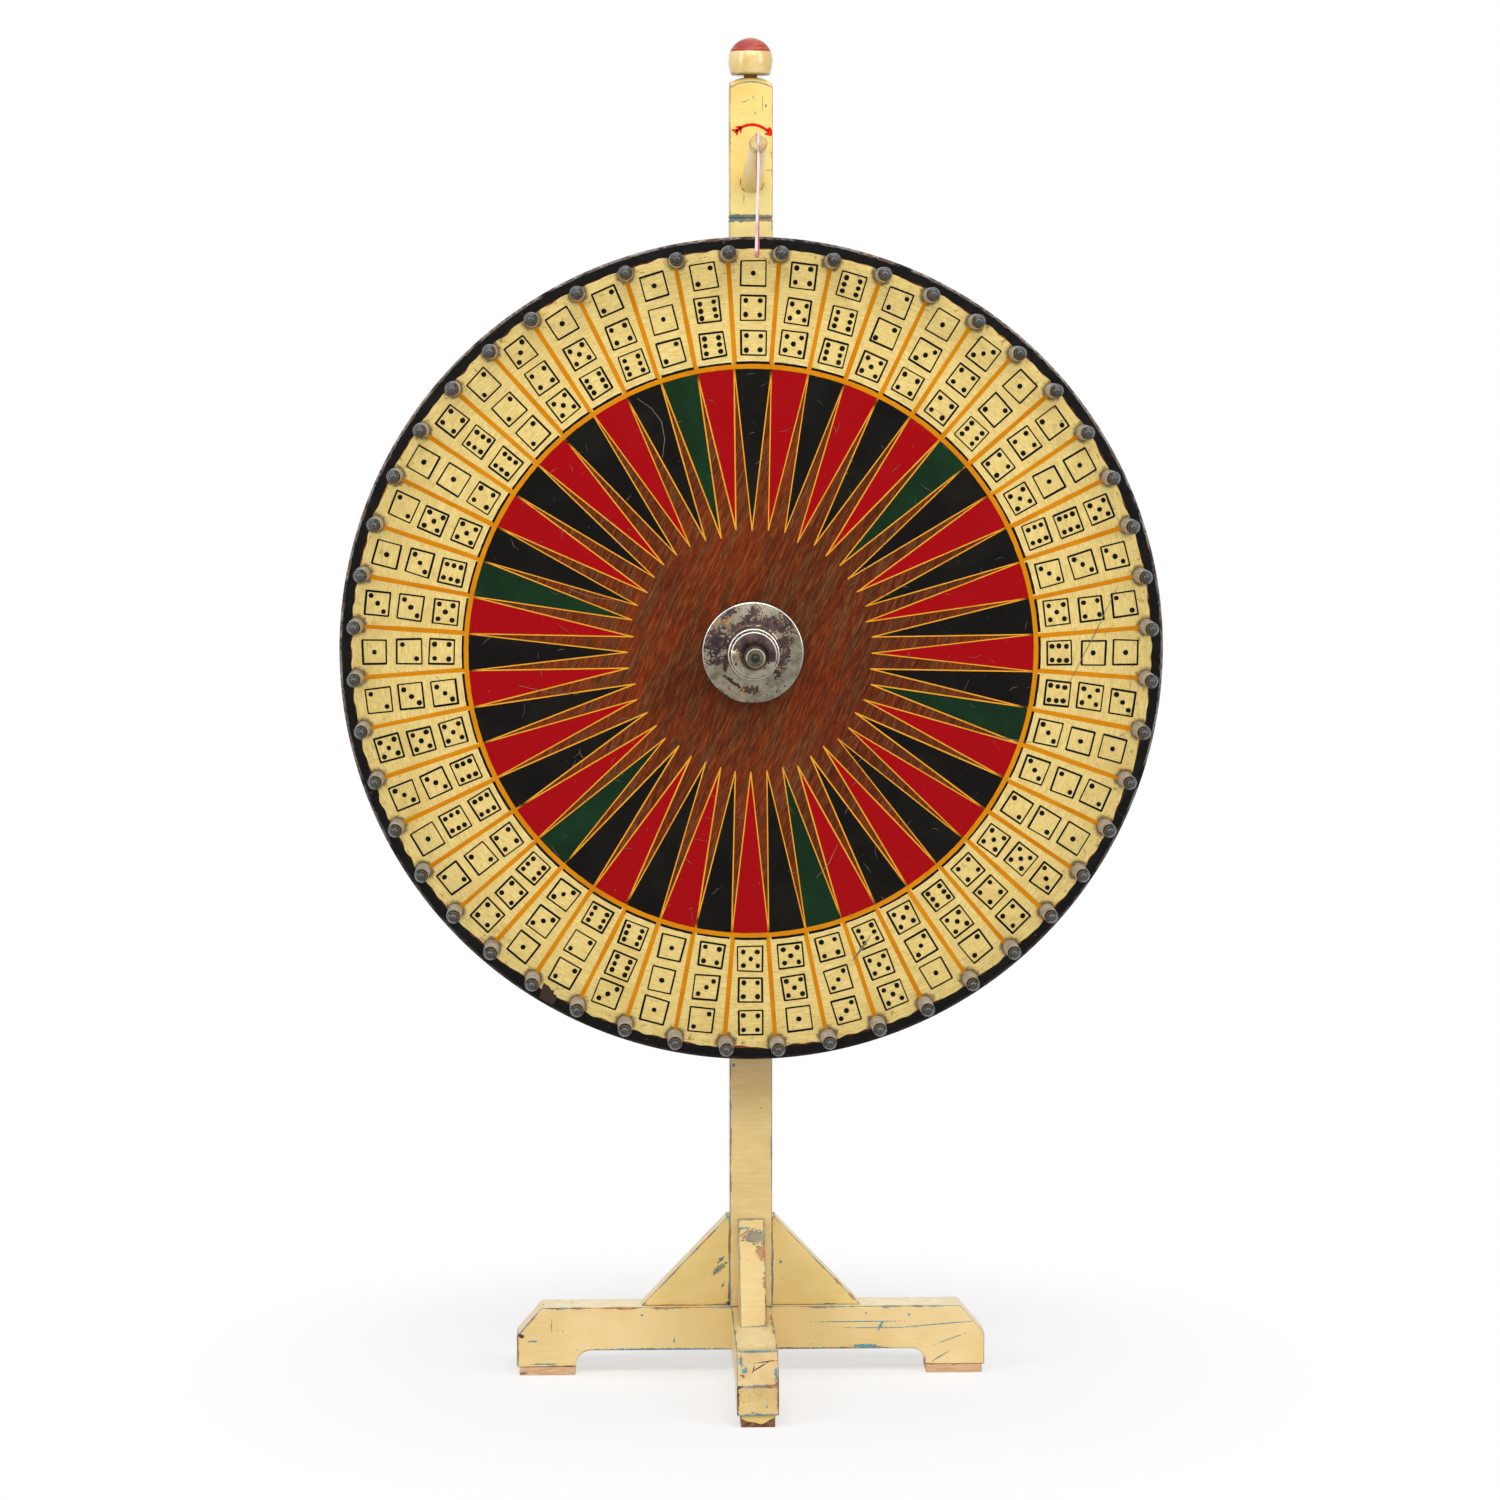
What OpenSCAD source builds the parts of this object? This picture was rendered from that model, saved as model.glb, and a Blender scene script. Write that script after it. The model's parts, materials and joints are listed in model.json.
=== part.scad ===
// Carnival game wheel: a pegged wooden wheel on a hub, on a painted post with a cross foot.
// Millimetres, +Z up. The origin is on the floor under the post, and the wheel faces -Y.

/* [Wheel] */
// Diameter of the wheel disc
wheel_d = 762; // [720:1:800]
// Thickness of the wheel disc
wheel_t = 19; // [16:0.5:25]
// Rounding of the disc's two rims
wheel_edge = 2; // [1:0.5:4]
// Height of the axle above the floor
axle_z = 690; // [660:1:720]

/* [Pegs] */
// Number of pegs round the rim
peg_count = 48; // [36:1:52]
// Distance of the peg circle from the rim
peg_inset = 15; // [13:0.5:20]
// Length of a peg in front of the wheel's face
peg_l = 50; // [40:1:55]
// Radius of a peg at the wheel's face
peg_base_r = 7.1; // [6:0.1:8]
// Radius of a peg at its shoulder
peg_front_r = 6.3; // [5:0.1:6.8]
// Radius of the domed nose
peg_nose_r = 5.1; // [4:0.1:5.5]
// Height of the domed nose
peg_nose_l = 5.5; // [4:0.5:7]
// Length of the rounded shoulder behind the nose
peg_shoulder_l = 3; // [2:0.5:5]
// Radius of the shank in the wheel
peg_shank_r = 4; // [3:0.1:5]
// Depth of the shank in the wheel
peg_shank_l = 14; // [10:0.5:15]
// Share of a peg gap at which the flapper hangs
flapper_in_gap = 0.56; // [0.4:0.01:0.7]

/* [Hub] */
// Radius of the nickel cover
cover_r = 47; // [44:0.5:55]
// Room between the hub bolts' ends and the cover
cover_room = 1.5; // [0.5:0.1:6]
// Rise of the cover's face from its rim to its boss
cover_rise = 4; // [2:0.5:6]
// Wall of the cover
cover_wall = 2.5; // [1.5:0.1:3]
// Radius of the boss on the cover
boss_r = 24; // [22:0.5:28]
// Length of the boss in front of the cover's face
boss_l = 21; // [15:0.5:30]
// Radius of the hub barrel
barrel_r = 17; // [15:0.5:18]
// Length of the barrel behind its flange
barrel_neck_l = 3.2; // [2:0.1:6]
// Radius of the flange behind the wheel
flange_r = 40; // [36:0.5:44]
// Thickness of the flange behind the wheel
flange_t = 6; // [4:0.5:8]
// Radius of the clamp plate in front of the wheel
clamp_r = 36; // [34:0.5:40]
// Thickness of the clamp plate
clamp_t = 4; // [3:0.5:5]
// Diameter of the hub bolts' circle
bolt_pcd = 54; // [52:0.5:56]
// Number of hub bolts
bolt_count = 4; // [3:1:6]
// Radius of a hub bolt
bolt_r = 3; // [2.5:0.1:3.5]
// Radius of a hub bolt's round head
bolt_head_r = 6.5; // [5:0.1:7]
// Height of a hub bolt's round head
bolt_head_t = 3; // [2:0.5:4]
// Width across flats of a hub nut
hub_nut_af = 10; // [9:0.5:11]
// Height of a hub nut
hub_nut_t = 5; // [4:0.5:6]
// Thread that stands out of a hub nut
bolt_tail = 1; // [0.5:0.1:2]
// Outer radius of a bush
bush_r = 11; // [10:0.5:12]
// Length of a bush
bush_l = 24; // [18:0.5:28]

/* [Axle] */
// Radius of the axle
axle_r = 7.5; // [6:0.1:8]
// Length of the axle behind its rear nut
axle_tail = 6; // [3:0.5:10]
// Radius of the washers on the post
washer_r = 17; // [15:0.5:19]
// Thickness of the washers on the post
washer_t = 2.5; // [2:0.1:4]
// Width across flats of the axle nuts
axle_nut_af = 24; // [22:0.5:28]
// Height of the rear axle nut
rear_nut_t = 12; // [8:0.5:14]
// Height of the lock nut between post and wheel
lock_nut_t = 8; // [6:0.5:12]
// Radius of the thrust washers
thrust_r = 14; // [12:0.5:15]
// Thickness of the thrust washers
thrust_t = 1.5; // [1:0.1:2.5]
// Radius of the nose cap at its foot
nose_foot_r = 21; // [17:0.5:22]
// Radius of the nose cap at its tip
nose_tip_r = 9.8; // [9:0.1:12]
// Length of the nose cap
nose_l = 45; // [30:0.5:55]
// Length of the straight foot of the nose cap
nose_foot_l = 3; // [2:0.5:5]
// Length of the straight tip of the nose cap
nose_tip_l = 6; // [3:0.5:8]
// Depth of the axle's end inside the nose cap
axle_recess = 1.5; // [0.5:0.1:3]
// Radius of the oiler's ball
oiler_r = 3.9; // [3:0.1:5]
// Height of the oiler's ball above the axle's end
oiler_out = 5; // [4:0.1:7]
// Radius of the oiler's stem
oiler_stem_r = 2.5; // [2:0.1:2.8]
// Length of the oiler's stem
oiler_stem_l = 10; // [6:0.5:16]

/* [Post] */
// Width of the square post
post_w = 40; // [38:0.5:46]
// Height of the post's splice above the wheel's rim
splice_above = 18; // [10:0.5:30]
// Length of the upper post from the splice to its corners
upper_l = 120; // [115:0.5:140]
// Rise of the domed top above the corners
dome_h = 11; // [5:0.5:12]
// Radius of a splice dowel
splice_r = 3.5; // [2.5:0.1:3.8]
// Length of a splice dowel
splice_l = 50; // [40:1:60]
// Distance of a splice dowel from the post's middle
splice_x = 12.5; // [12:0.1:13]

/* [Finial] */
// Diameter of the ball
ball_d = 41; // [36:0.5:44]
// Height of the ball from its flat foot
ball_h = 34.5; // [32:0.5:36]
// Radius of the ball's lower side, seen in outline
ball_side_r = 39; // [36:0.5:50]
// Gap between the ball and the post
neck_gap = 1; // [0.5:0.5:6]
// Radius of the dowel that carries the ball
neck_r = 6.2; // [5:0.1:7]
// Depth of the dowel in the post
neck_in_post = 30; // [20:1:40]
// Depth of the dowel in the ball
neck_in_ball = 18; // [12:1:22]

/* [Pointer] */
// Height of the arm's root above the splice
arm_above = 34.5; // [30:0.5:36]
// Reach of the arm in front of the post
arm_reach = 76; // [70:0.5:82]
// Rise of the arm from the level, in degrees
arm_rise = 22.5; // [20:0.5:28]
// Turn of the arm towards +X, in degrees
arm_turn = 2.5; // [1:0.5:6]
// Radius of the arm at the post
arm_root_r = 10.4; // [9:0.05:10.5]
// Radius of the arm at its end
arm_end_r = 8.3; // [7:0.1:8.8]
// Rounding at the arm's end
arm_edge = 1.5; // [0.5:0.1:2.5]
// Radius of the arm's tenon
tenon_r = 7; // [6:0.1:7.5]
// Depth of the arm's tenon in the post
tenon_l = 26; // [20:0.5:30]
// Thickness of the flapper strip
flapper_t = 2.4; // [1.6:0.1:3]
// Width of the flapper strip
flapper_w = 20; // [16:0.5:22]
// Width of the strip at its tip
flapper_tip_w = 15; // [10:0.5:18]
// Height of the strip's top above the arm's middle line
flapper_over = 8.5; // [7:0.5:14]
// Overlap of the strip's tip with the peg circle, towards the axle
flapper_bite = 5; // [2:0.5:8]
// Radius of the brad through arm and strip
brad_r = 1; // [0.8:0.1:1.3]
// Distance of the brad from the arm's end
brad_back = 9; // [7:0.5:11]

/* [Foot] */
// Length of each cross leg
leg_l = 444; // [420:1:470]
// Width of each cross leg
leg_w = 38; // [36:0.5:44]
// Height of the cross legs' tops above the floor
leg_top = 65; // [62:0.5:72]
// Height of the cross legs' undersides above the floor
arch_z = 23.5; // [20:0.5:27]
// Rounding where a leg's underside meets its foot
arch_r = 15; // [8:0.5:16]
// Length of a foot
foot_l = 55.5; // [48:0.5:64]
// Length of the slope at a leg's end
slope_l = 23.5; // [18:0.5:30]
// Drop of the slope at a leg's end
slope_h = 27; // [20:0.5:32]
// Thickness of the left and right pads
side_pad_t = 8; // [6:0.5:10]
// Thickness of the front and back pads
front_pad_t = 11; // [9:0.5:13]
// Length of a pad
pad_l = 53; // [46:0.5:54]
// Width of the left and right pads
side_pad_w = 37; // [34:0.5:38]
// Width of the front and back pads
front_pad_w = 31; // [28:0.5:36]
// Reach of a gusset along its leg
gusset_l = 84; // [70:0.5:100]
// Height of a gusset up the post
gusset_h = 85; // [70:0.5:100]
// Thickness of a gusset
gusset_t = 24.5; // [20:0.5:30]

/* [Fasteners] */
// Radius of the lag screw
lag_r = 4; // [3:0.1:5]
// Depth of the lag screw in the post
lag_in_post = 45; // [35:1:48]
// Width across flats of the lag screw's head
lag_af = 13; // [11:0.5:15]
// Height of the lag screw's head
lag_head_t = 5.5; // [4:0.5:6]
// Radius of the lag screw's washer
lag_washer_r = 11; // [9:0.5:12]
// Thickness of the lag screw's washer
lag_washer_t = 1.6; // [1:0.1:2]
// Radius of a gusset nail
nail_r = 1.4; // [1:0.1:1.8]
// Depth of a gusset nail in the post or leg
nail_in = 13; // [8:0.5:14]
// Distance of a gusset nail from the gusset's square corner
nail_at = 52; // [46:0.5:56]
// Wood over a gusset nail's outer end
nail_cover = 6; // [3:0.5:10]
// Radius of a pad nail
pad_nail_r = 1.3; // [1:0.1:1.6]
// Radius of a pad nail's head
pad_nail_head_r = 3; // [2.5:0.1:4]
// Height of a pad nail's head
pad_nail_head_t = 1.2; // [0.8:0.1:2]
// Depth of a pad nail in its leg
pad_nail_in = 10; // [6:0.5:12]
// Distance between the two nails of a pad
pad_nail_apart = 28; // [20:0.5:32]

/* [Fits] */
// Radial clearance of glued, pressed and screwed round pieces
fit = 0.04; // [0.02:0.01:0.06]
// Radial running clearance of the bushes on the axle
running = 0.05; // [0.03:0.01:0.08]
// End play of the hub between its thrust washers
end_play = 0.3; // [0.2:0.1:0.5]
// Clearance of a flat piece in its slot, each side
slot_fit = 0.15; // [0.1:0.05:0.3]
// Clearance of the brad in the strip
brad_fit = 0.35; // [0.2:0.05:0.5]
// Recess of the fasteners' heads from the surface round them
head_recess = 0.8; // [0.5:0.1:1.5]

/* [Hidden] */
$fn = 64;
overcut = 1;
first_bolt = 45;
cream = [0.91, 0.8, 0.55];
bare_wood = [0.66, 0.45, 0.29];
nickel = [0.6, 0.58, 0.52];
steel = [0.45, 0.45, 0.45];
bronze = [0.65, 0.45, 0.2];

// Distances in front of the post's middle, along the axle
post_front = post_w / 2;
lock_nut_at = post_front + washer_t;
rear_thrust_at = lock_nut_at + lock_nut_t;
hub_at = rear_thrust_at + thrust_t + end_play;
flange_at = hub_at + barrel_neck_l;
wheel_back = flange_at + flange_t;
wheel_face = wheel_back + wheel_t;
cover_depth = clamp_t + hub_nut_t + bolt_tail + cover_room + cover_wall;
cover_face = wheel_face + cover_depth + cover_rise;
boss_face = cover_face + boss_l;
front_thrust_at = boss_face + end_play;
nose_at = front_thrust_at + thrust_t;
nose_face = nose_at + nose_l;
axle_front = nose_face - axle_recess;
axle_rear = -(post_front + washer_t + rear_nut_t + axle_tail);

// Heights
post_foot = leg_top;
splice_z = axle_z + wheel_d / 2 + splice_above;
corner_z = splice_z + upper_l;
dome_top = corner_z + dome_h;
ball_foot = dome_top + neck_gap;
ball_r = ball_d / 2;
lap_z = (arch_z + leg_top) / 2;
lag_seat = arch_z + head_recess + lag_head_t;

// The domed post top is part of a sphere through the four corners
corner_r = post_w * sqrt(2) / 2;
dome_r = (pow(corner_r, 2) + pow(dome_h, 2)) / (2 * dome_h);

// The pointer arm's end and the flapper that hangs from it
arm_root_z = splice_z + arm_above;
arm_l = arm_reach / cos(arm_rise);
peg_circle_r = wheel_d / 2 - peg_inset;
flapper_x = (arm_reach + post_front) * sin(arm_turn);
flapper_top = arm_root_z + arm_reach * tan(arm_rise) + flapper_over;
flapper_tip = axle_z + peg_circle_r - flapper_bite;
peg_pitch = 360 / peg_count;
first_peg = asin(flapper_x / peg_circle_r) - flapper_in_gap * peg_pitch;

// Points of an arc about a centre, from one angle to another
function arc(centre, r, from, to, steps) =
    [for (i = [0 : steps]) let (a = from + (to - from) * i / steps) centre + r * [cos(a), sin(a)]];

// Places its children on the axle, with their +Z pointing forward from the given distance
module on_axle(ahead = 0) {
    translate([0, -ahead, axle_z]) rotate([90, 0, 0]) children();
}

// Places its children at each hub bolt, with their +Z pointing forward
module at_bolts(ahead) {
    for (i = [0 : bolt_count - 1])
        on_axle(ahead) rotate([0, 0, first_bolt + i * 360 / bolt_count]) translate([bolt_pcd / 2, 0, 0]) children();
}

// Places its children at each peg, with their +Z pointing forward from the wheel's face
module at_pegs() {
    for (i = [0 : peg_count - 1])
        on_axle(wheel_face) rotate([0, 0, -(first_peg + i * peg_pitch)]) translate([0, peg_circle_r, 0]) children();
}

// Places its children along the pointer arm, with their +Z pointing out of the post
module on_arm() {
    translate([0, 0, arm_root_z]) rotate([0, 0, arm_turn])
        translate([0, -post_front, 0]) rotate([90 - arm_rise, 0, 0]) children();
}

// Places its children in the flapper's plane: local X runs towards the post, local Y up
module on_flapper() {
    rotate([0, 0, arm_turn]) translate([0, -(arm_reach + post_front), 0]) rotate([90, 0, 90]) children();
}

// Turns its children about the post to the four sides, starting at the right
module at_side(side) {
    rotate([0, 0, side * 90]) children();
}

module ring(r, bore_r, h) {
    difference() {
        cylinder(r = r, h = h);
        translate([0, 0, -overcut]) cylinder(r = bore_r, h = h + 2 * overcut);
    }
}

module hex_nut(af, bore_r, h) {
    difference() {
        cylinder(r = af / sqrt(3), h = h, $fn = 6);
        translate([0, 0, -overcut]) cylinder(r = bore_r, h = h + 2 * overcut);
    }
}

// Post, upper post and finial
module post_bar(z0, z1) {
    translate([-post_w / 2, -post_w / 2, z0]) cube([post_w, post_w, z1 - z0]);
}

module splice_holes() {
    splice_pins(splice_r + fit, splice_l + 2 * fit);
}

module splice_pins(r, l) {
    for (side = [-1, 1])
        translate([side * splice_x, 0, splice_z - l / 2]) cylinder(r = r, h = l);
}

module post() {
    color(cream) difference() {
        post_bar(post_foot, splice_z);
        on_axle(-post_w) cylinder(r = axle_r + fit, h = 2 * post_w);
        splice_holes();
        lag_shank(lag_r + fit);
        nail_set(nail_r + fit, nail_in + fit);
    }
}

module upper_post() {
    color(cream) difference() {
        union() {
            post_bar(splice_z, corner_z);
            intersection() {
                post_bar(corner_z - overcut, dome_top);
                translate([0, 0, dome_top - dome_r]) sphere(r = dome_r);
            }
        }
        splice_holes();
        neck(neck_r + fit, fit);
        tenon(tenon_r + fit, tenon_l + fit);
    }
}

module splice_dowels() {
    color(bare_wood) splice_pins(splice_r, splice_l);
}

module neck(r, extra = 0) {
    translate([0, 0, dome_top - neck_in_post - extra])
        cylinder(r = r, h = neck_in_post + neck_gap + neck_in_ball + 2 * extra);
}

module finial_ball() {
    below = ball_h - ball_r;
    steps = 12;
    profile = concat(
        [[0, -below]],
        arc([ball_r - ball_side_r, 0], ball_side_r, -asin(below / ball_side_r), 0, steps),
        arc([0, 0], ball_r, 90 / steps, 90, steps)
    );
    color(cream) difference() {
        translate([0, 0, ball_foot + below]) rotate_extrude() polygon(profile);
        neck(neck_r + fit, fit);
    }
}

module finial_dowel() {
    color(bare_wood) neck(neck_r);
}

// Pointer arm and flapper
module tenon(r, l) {
    on_arm() translate([0, 0, -l]) cylinder(r = r, h = l + arm_root_r);
}

module pointer_arm() {
    bevel_l = arm_l - arm_edge;
    color(cream) difference() {
        union() {
            intersection() {
                on_arm() union() {
                    translate([0, 0, -arm_root_r])
                        cylinder(r1 = arm_root_r, r2 = arm_end_r, h = bevel_l + arm_root_r);
                    translate([0, 0, bevel_l])
                        cylinder(r1 = arm_end_r, r2 = arm_end_r - arm_edge, h = arm_edge);
                }
                translate([-post_w, -post_front - 2 * arm_l, splice_z])
                    cube([2 * post_w, 2 * arm_l, 2 * arm_l]);
            }
            tenon(tenon_r, tenon_l);
        }
        on_flapper() translate([-flapper_w, flapper_tip, -flapper_t / 2 - slot_fit])
            cube([2 * flapper_w + slot_fit, flapper_top - flapper_tip + flapper_w, flapper_t + 2 * slot_fit]);
        brad(brad_r + fit);
    }
}

// The strip's front edge hangs straight down from the arm's end
module flapper_outline() {
    round_r = flapper_tip_w / 2;
    polygon(concat(
        [[0, flapper_top], [flapper_w, flapper_top]],
        arc([round_r, flapper_tip + round_r], round_r, 0, -180, 12)
    ));
}

module flapper() {
    color([0.8, 0.25, 0.25]) difference() {
        on_flapper() translate([0, 0, -flapper_t / 2]) linear_extrude(flapper_t) flapper_outline();
        brad(brad_r + brad_fit);
    }
}

module brad(r) {
    on_arm() translate([0, 0, arm_l - brad_back]) rotate([0, 90, 0])
        cylinder(r = r, h = 2 * (arm_end_r - head_recess), center = true);
}

module flapper_brad() {
    color(steel) brad(brad_r);
}

// Cross legs, gussets, pads and their fasteners. A leg is drawn along X
module leg_outline(pad_t) {
    half = leg_l / 2;
    inner = half - foot_l;
    difference() {
        polygon([
            [-half, pad_t],
            [half, pad_t],
            [half, leg_top - slope_h],
            [half - slope_l, leg_top],
            [-half + slope_l, leg_top],
            [-half, leg_top - slope_h]
        ]);
        translate([-inner, 0]) square([2 * inner, arch_z - arch_r]);
        translate([-inner + arch_r, 0]) square([2 * (inner - arch_r), arch_z]);
        for (side = [-1, 1])
            translate([side * (inner - arch_r), arch_z - arch_r]) circle(r = arch_r);
    }
}

module leg(pad_t, first_side) {
    difference() {
        at_side(first_side) translate([0, leg_w / 2, 0]) rotate([90, 0, 0])
            linear_extrude(leg_w) leg_outline(pad_t);
        lag_shank(lag_r + fit);
        lag_pocket();
        nail_set(nail_r + fit, nail_in + fit);
        for (side = [first_side, first_side + 2])
            at_side(side) pad_nail_pair(pad_t, pad_nail_r + fit, pad_nail_head_r + fit, fit);
    }
}

module lap(z0, z1) {
    side = leg_w + 2 * fit;
    translate([-side / 2, -side / 2, z0]) cube([side, side, z1 - z0]);
}

module cross_leg_side() {
    color(cream) difference() {
        leg(side_pad_t, 0);
        lap(lap_z, leg_top + overcut);
    }
}

module cross_leg_front() {
    color(cream) difference() {
        leg(front_pad_t, 1);
        lap(0, lap_z);
    }
}

module lag_shank(r) {
    translate([0, 0, lag_seat]) cylinder(r = r, h = leg_top + lag_in_post - lag_seat + (r - lag_r));
}

module lag_pocket() {
    cylinder(r = lag_washer_r + fit + head_recess, h = lag_seat + lag_washer_t);
}

module lag_screw() {
    color(steel) union() {
        lag_shank(lag_r);
        translate([0, 0, lag_seat - lag_head_t]) cylinder(r = lag_af / sqrt(3), h = lag_head_t, $fn = 6);
    }
}

module lag_washer() {
    color(steel) translate([0, 0, lag_seat]) ring(lag_washer_r, lag_r + fit, lag_washer_t);
}

// One nail of a gusset goes into the post and the other into the leg
module nail_pair(r, into, extra = 0) {
    level_l = gusset_l * (1 - nail_at / gusset_h) - nail_cover + extra;
    upright_l = gusset_h * (1 - nail_at / gusset_l) - nail_cover + extra;
    translate([post_w / 2 - into, 0, leg_top + nail_at]) rotate([0, 90, 0]) cylinder(r = r, h = into + level_l);
    translate([post_w / 2 + nail_at, 0, leg_top - into]) cylinder(r = r, h = into + upright_l);
}

module nail_set(r, into) {
    for (side = [0 : 3])
        at_side(side) nail_pair(r, into);
}

module gusset(side) {
    color(cream) at_side(side) difference() {
        translate([post_w / 2, gusset_t / 2, leg_top]) rotate([90, 0, 0])
            linear_extrude(gusset_t) polygon([[0, 0], [gusset_l, 0], [0, gusset_h]]);
        nail_pair(nail_r + fit, nail_in, fit);
    }
}

module gusset_right() {
    gusset(0);
}

module gusset_back() {
    gusset(1);
}

module gusset_left() {
    gusset(2);
}

module gusset_front() {
    gusset(3);
}

module gusset_nails() {
    color(steel) nail_set(nail_r, nail_in);
}

module pad_nail_pair(pad_t, r, head_r, extra = 0) {
    for (end = [-1, 1])
        translate([leg_l / 2 - foot_l + pad_l / 2 + end * pad_nail_apart / 2, 0, head_recess - extra]) {
            cylinder(r = r, h = pad_t + pad_nail_in - head_recess + 2 * extra);
            cylinder(r = head_r, h = pad_nail_head_t + 2 * extra);
        }
}

module pad(side, pad_t, pad_w) {
    color(bare_wood) at_side(side) difference() {
        translate([leg_l / 2 - foot_l, -pad_w / 2, 0]) cube([pad_l, pad_w, pad_t]);
        pad_nail_pair(pad_t, pad_nail_r + fit, pad_nail_head_r + fit, head_recess);
    }
}

module foot_pad_right() {
    pad(0, side_pad_t, side_pad_w);
}

module foot_pad_back() {
    pad(1, front_pad_t, front_pad_w);
}

module foot_pad_left() {
    pad(2, side_pad_t, side_pad_w);
}

module foot_pad_front() {
    pad(3, front_pad_t, front_pad_w);
}

module pad_nails() {
    color(steel) for (side = [0 : 3])
        at_side(side) pad_nail_pair(side % 2 == 0 ? side_pad_t : front_pad_t, pad_nail_r, pad_nail_head_r);
}

// Axle and what holds it on the post
module axle() {
    color(steel) difference() {
        on_axle(axle_rear) cylinder(r = axle_r, h = axle_front - axle_rear);
        on_axle(axle_front - oiler_stem_l - fit) cylinder(r = oiler_stem_r + fit, h = oiler_stem_l + overcut);
    }
}

module axle_washer_rear() {
    color(steel) on_axle(-post_front - washer_t) ring(washer_r, axle_r + fit, washer_t);
}

module axle_nut() {
    color(steel) on_axle(-post_front - washer_t - rear_nut_t) hex_nut(axle_nut_af, axle_r + fit, rear_nut_t);
}

module axle_washer_front() {
    color(steel) on_axle(post_front) ring(washer_r, axle_r + fit, washer_t);
}

module lock_nut() {
    color(steel) on_axle(lock_nut_at) hex_nut(axle_nut_af, axle_r + fit, lock_nut_t);
}

module thrust_washer_rear() {
    color(bronze) on_axle(rear_thrust_at) ring(thrust_r, axle_r + fit, thrust_t);
}

module thrust_washer_front() {
    color(bronze) on_axle(front_thrust_at) ring(thrust_r, axle_r + fit, thrust_t);
}

module hub_nose() {
    curve_l = nose_l - nose_foot_l - nose_tip_l;
    waist = 7;
    edge = 0.8;
    steps = 16;
    profile = concat(
        [[axle_r + fit, 0], [nose_foot_r, 0]],
        [for (i = [0 : steps]) let (t = i / steps)
            [nose_tip_r + (nose_foot_r - nose_tip_r) * pow(1 - t, waist), nose_foot_l + curve_l * t]],
        [[nose_tip_r, nose_l - edge], [nose_tip_r - edge, nose_l], [axle_r + fit, nose_l]]
    );
    color(nickel) on_axle(nose_at) rotate_extrude() polygon(profile);
}

module oiler() {
    color(bronze) union() {
        on_axle(axle_front - oiler_stem_l) cylinder(r = oiler_stem_r, h = oiler_stem_l);
        intersection() {
            on_axle(axle_front + oiler_out - oiler_r) sphere(r = oiler_r);
            on_axle(axle_front) cylinder(r = 2 * oiler_r, h = 2 * oiler_r);
        }
    }
}

// Wheel, pegs and hub
module wheel_disc() {
    shoulder_r = wheel_d / 2 - wheel_edge;
    steps = 3;
    profile = concat(
        [[0, 0]],
        arc([shoulder_r, wheel_edge], wheel_edge, -90, 0, steps),
        arc([shoulder_r, wheel_t - wheel_edge], wheel_edge, 0, 90, steps),
        [[0, wheel_t]]
    );
    color([0.47, 0.18, 0.08]) difference() {
        on_axle(wheel_back) rotate_extrude($fn = 180) polygon(profile);
        on_axle(wheel_back - overcut) cylinder(r = barrel_r + fit, h = wheel_t + 2 * overcut);
        at_bolts(wheel_back - overcut) cylinder(r = bolt_r + fit, h = wheel_t + 2 * overcut);
        at_pegs() translate([0, 0, -peg_shank_l - fit]) cylinder(r = peg_shank_r + fit, h = peg_shank_l + overcut);
    }
}

module pegs() {
    body_l = peg_l - peg_nose_l - peg_shoulder_l;
    steps = 3;
    profile = concat(
        [[0, -peg_shank_l], [peg_shank_r, -peg_shank_l], [peg_shank_r, 0], [peg_base_r, 0], [peg_front_r, body_l]],
        [for (i = [0 : steps]) let (a = 90 * i / steps)
            [peg_nose_r * cos(a), body_l + peg_shoulder_l + peg_nose_l * sin(a)]]
    );
    color(nickel) at_pegs() rotate_extrude($fn = 32) polygon(profile);
}

module hub_barrel() {
    color(steel) difference() {
        union() {
            on_axle(hub_at) cylinder(r = barrel_r, h = boss_face - hub_at);
            on_axle(flange_at) cylinder(r = flange_r, h = flange_t);
        }
        on_axle(hub_at - overcut) cylinder(r = bush_r + fit, h = boss_face - hub_at + 2 * overcut);
        at_bolts(flange_at - overcut) cylinder(r = bolt_r + fit, h = flange_t + 2 * overcut);
    }
}

module clamp_plate() {
    color(steel) difference() {
        on_axle(wheel_face) ring(clamp_r, barrel_r + fit, clamp_t);
        at_bolts(wheel_face - overcut) cylinder(r = bolt_r + fit, h = clamp_t + 2 * overcut);
    }
}

module hub_bolts() {
    through = flange_t + wheel_t + clamp_t + hub_nut_t + bolt_tail;
    head_sphere_r = (pow(bolt_head_r, 2) + pow(bolt_head_t, 2)) / (2 * bolt_head_t);
    color(steel) at_bolts(flange_at) union() {
        cylinder(r = bolt_r, h = through);
        intersection() {
            translate([0, 0, head_sphere_r - bolt_head_t]) sphere(r = head_sphere_r);
            translate([0, 0, -bolt_head_t]) cylinder(r = 2 * bolt_head_r, h = bolt_head_t);
        }
    }
}

module hub_nuts() {
    color(steel) at_bolts(wheel_face + clamp_t) hex_nut(hub_nut_af, bolt_r + fit, hub_nut_t);
}

module bush_rear() {
    color(bronze) on_axle(hub_at) ring(bush_r, axle_r + running, bush_l);
}

module bush_front() {
    color(bronze) on_axle(boss_face - bush_l) ring(bush_r, axle_r + running, bush_l);
}

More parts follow.
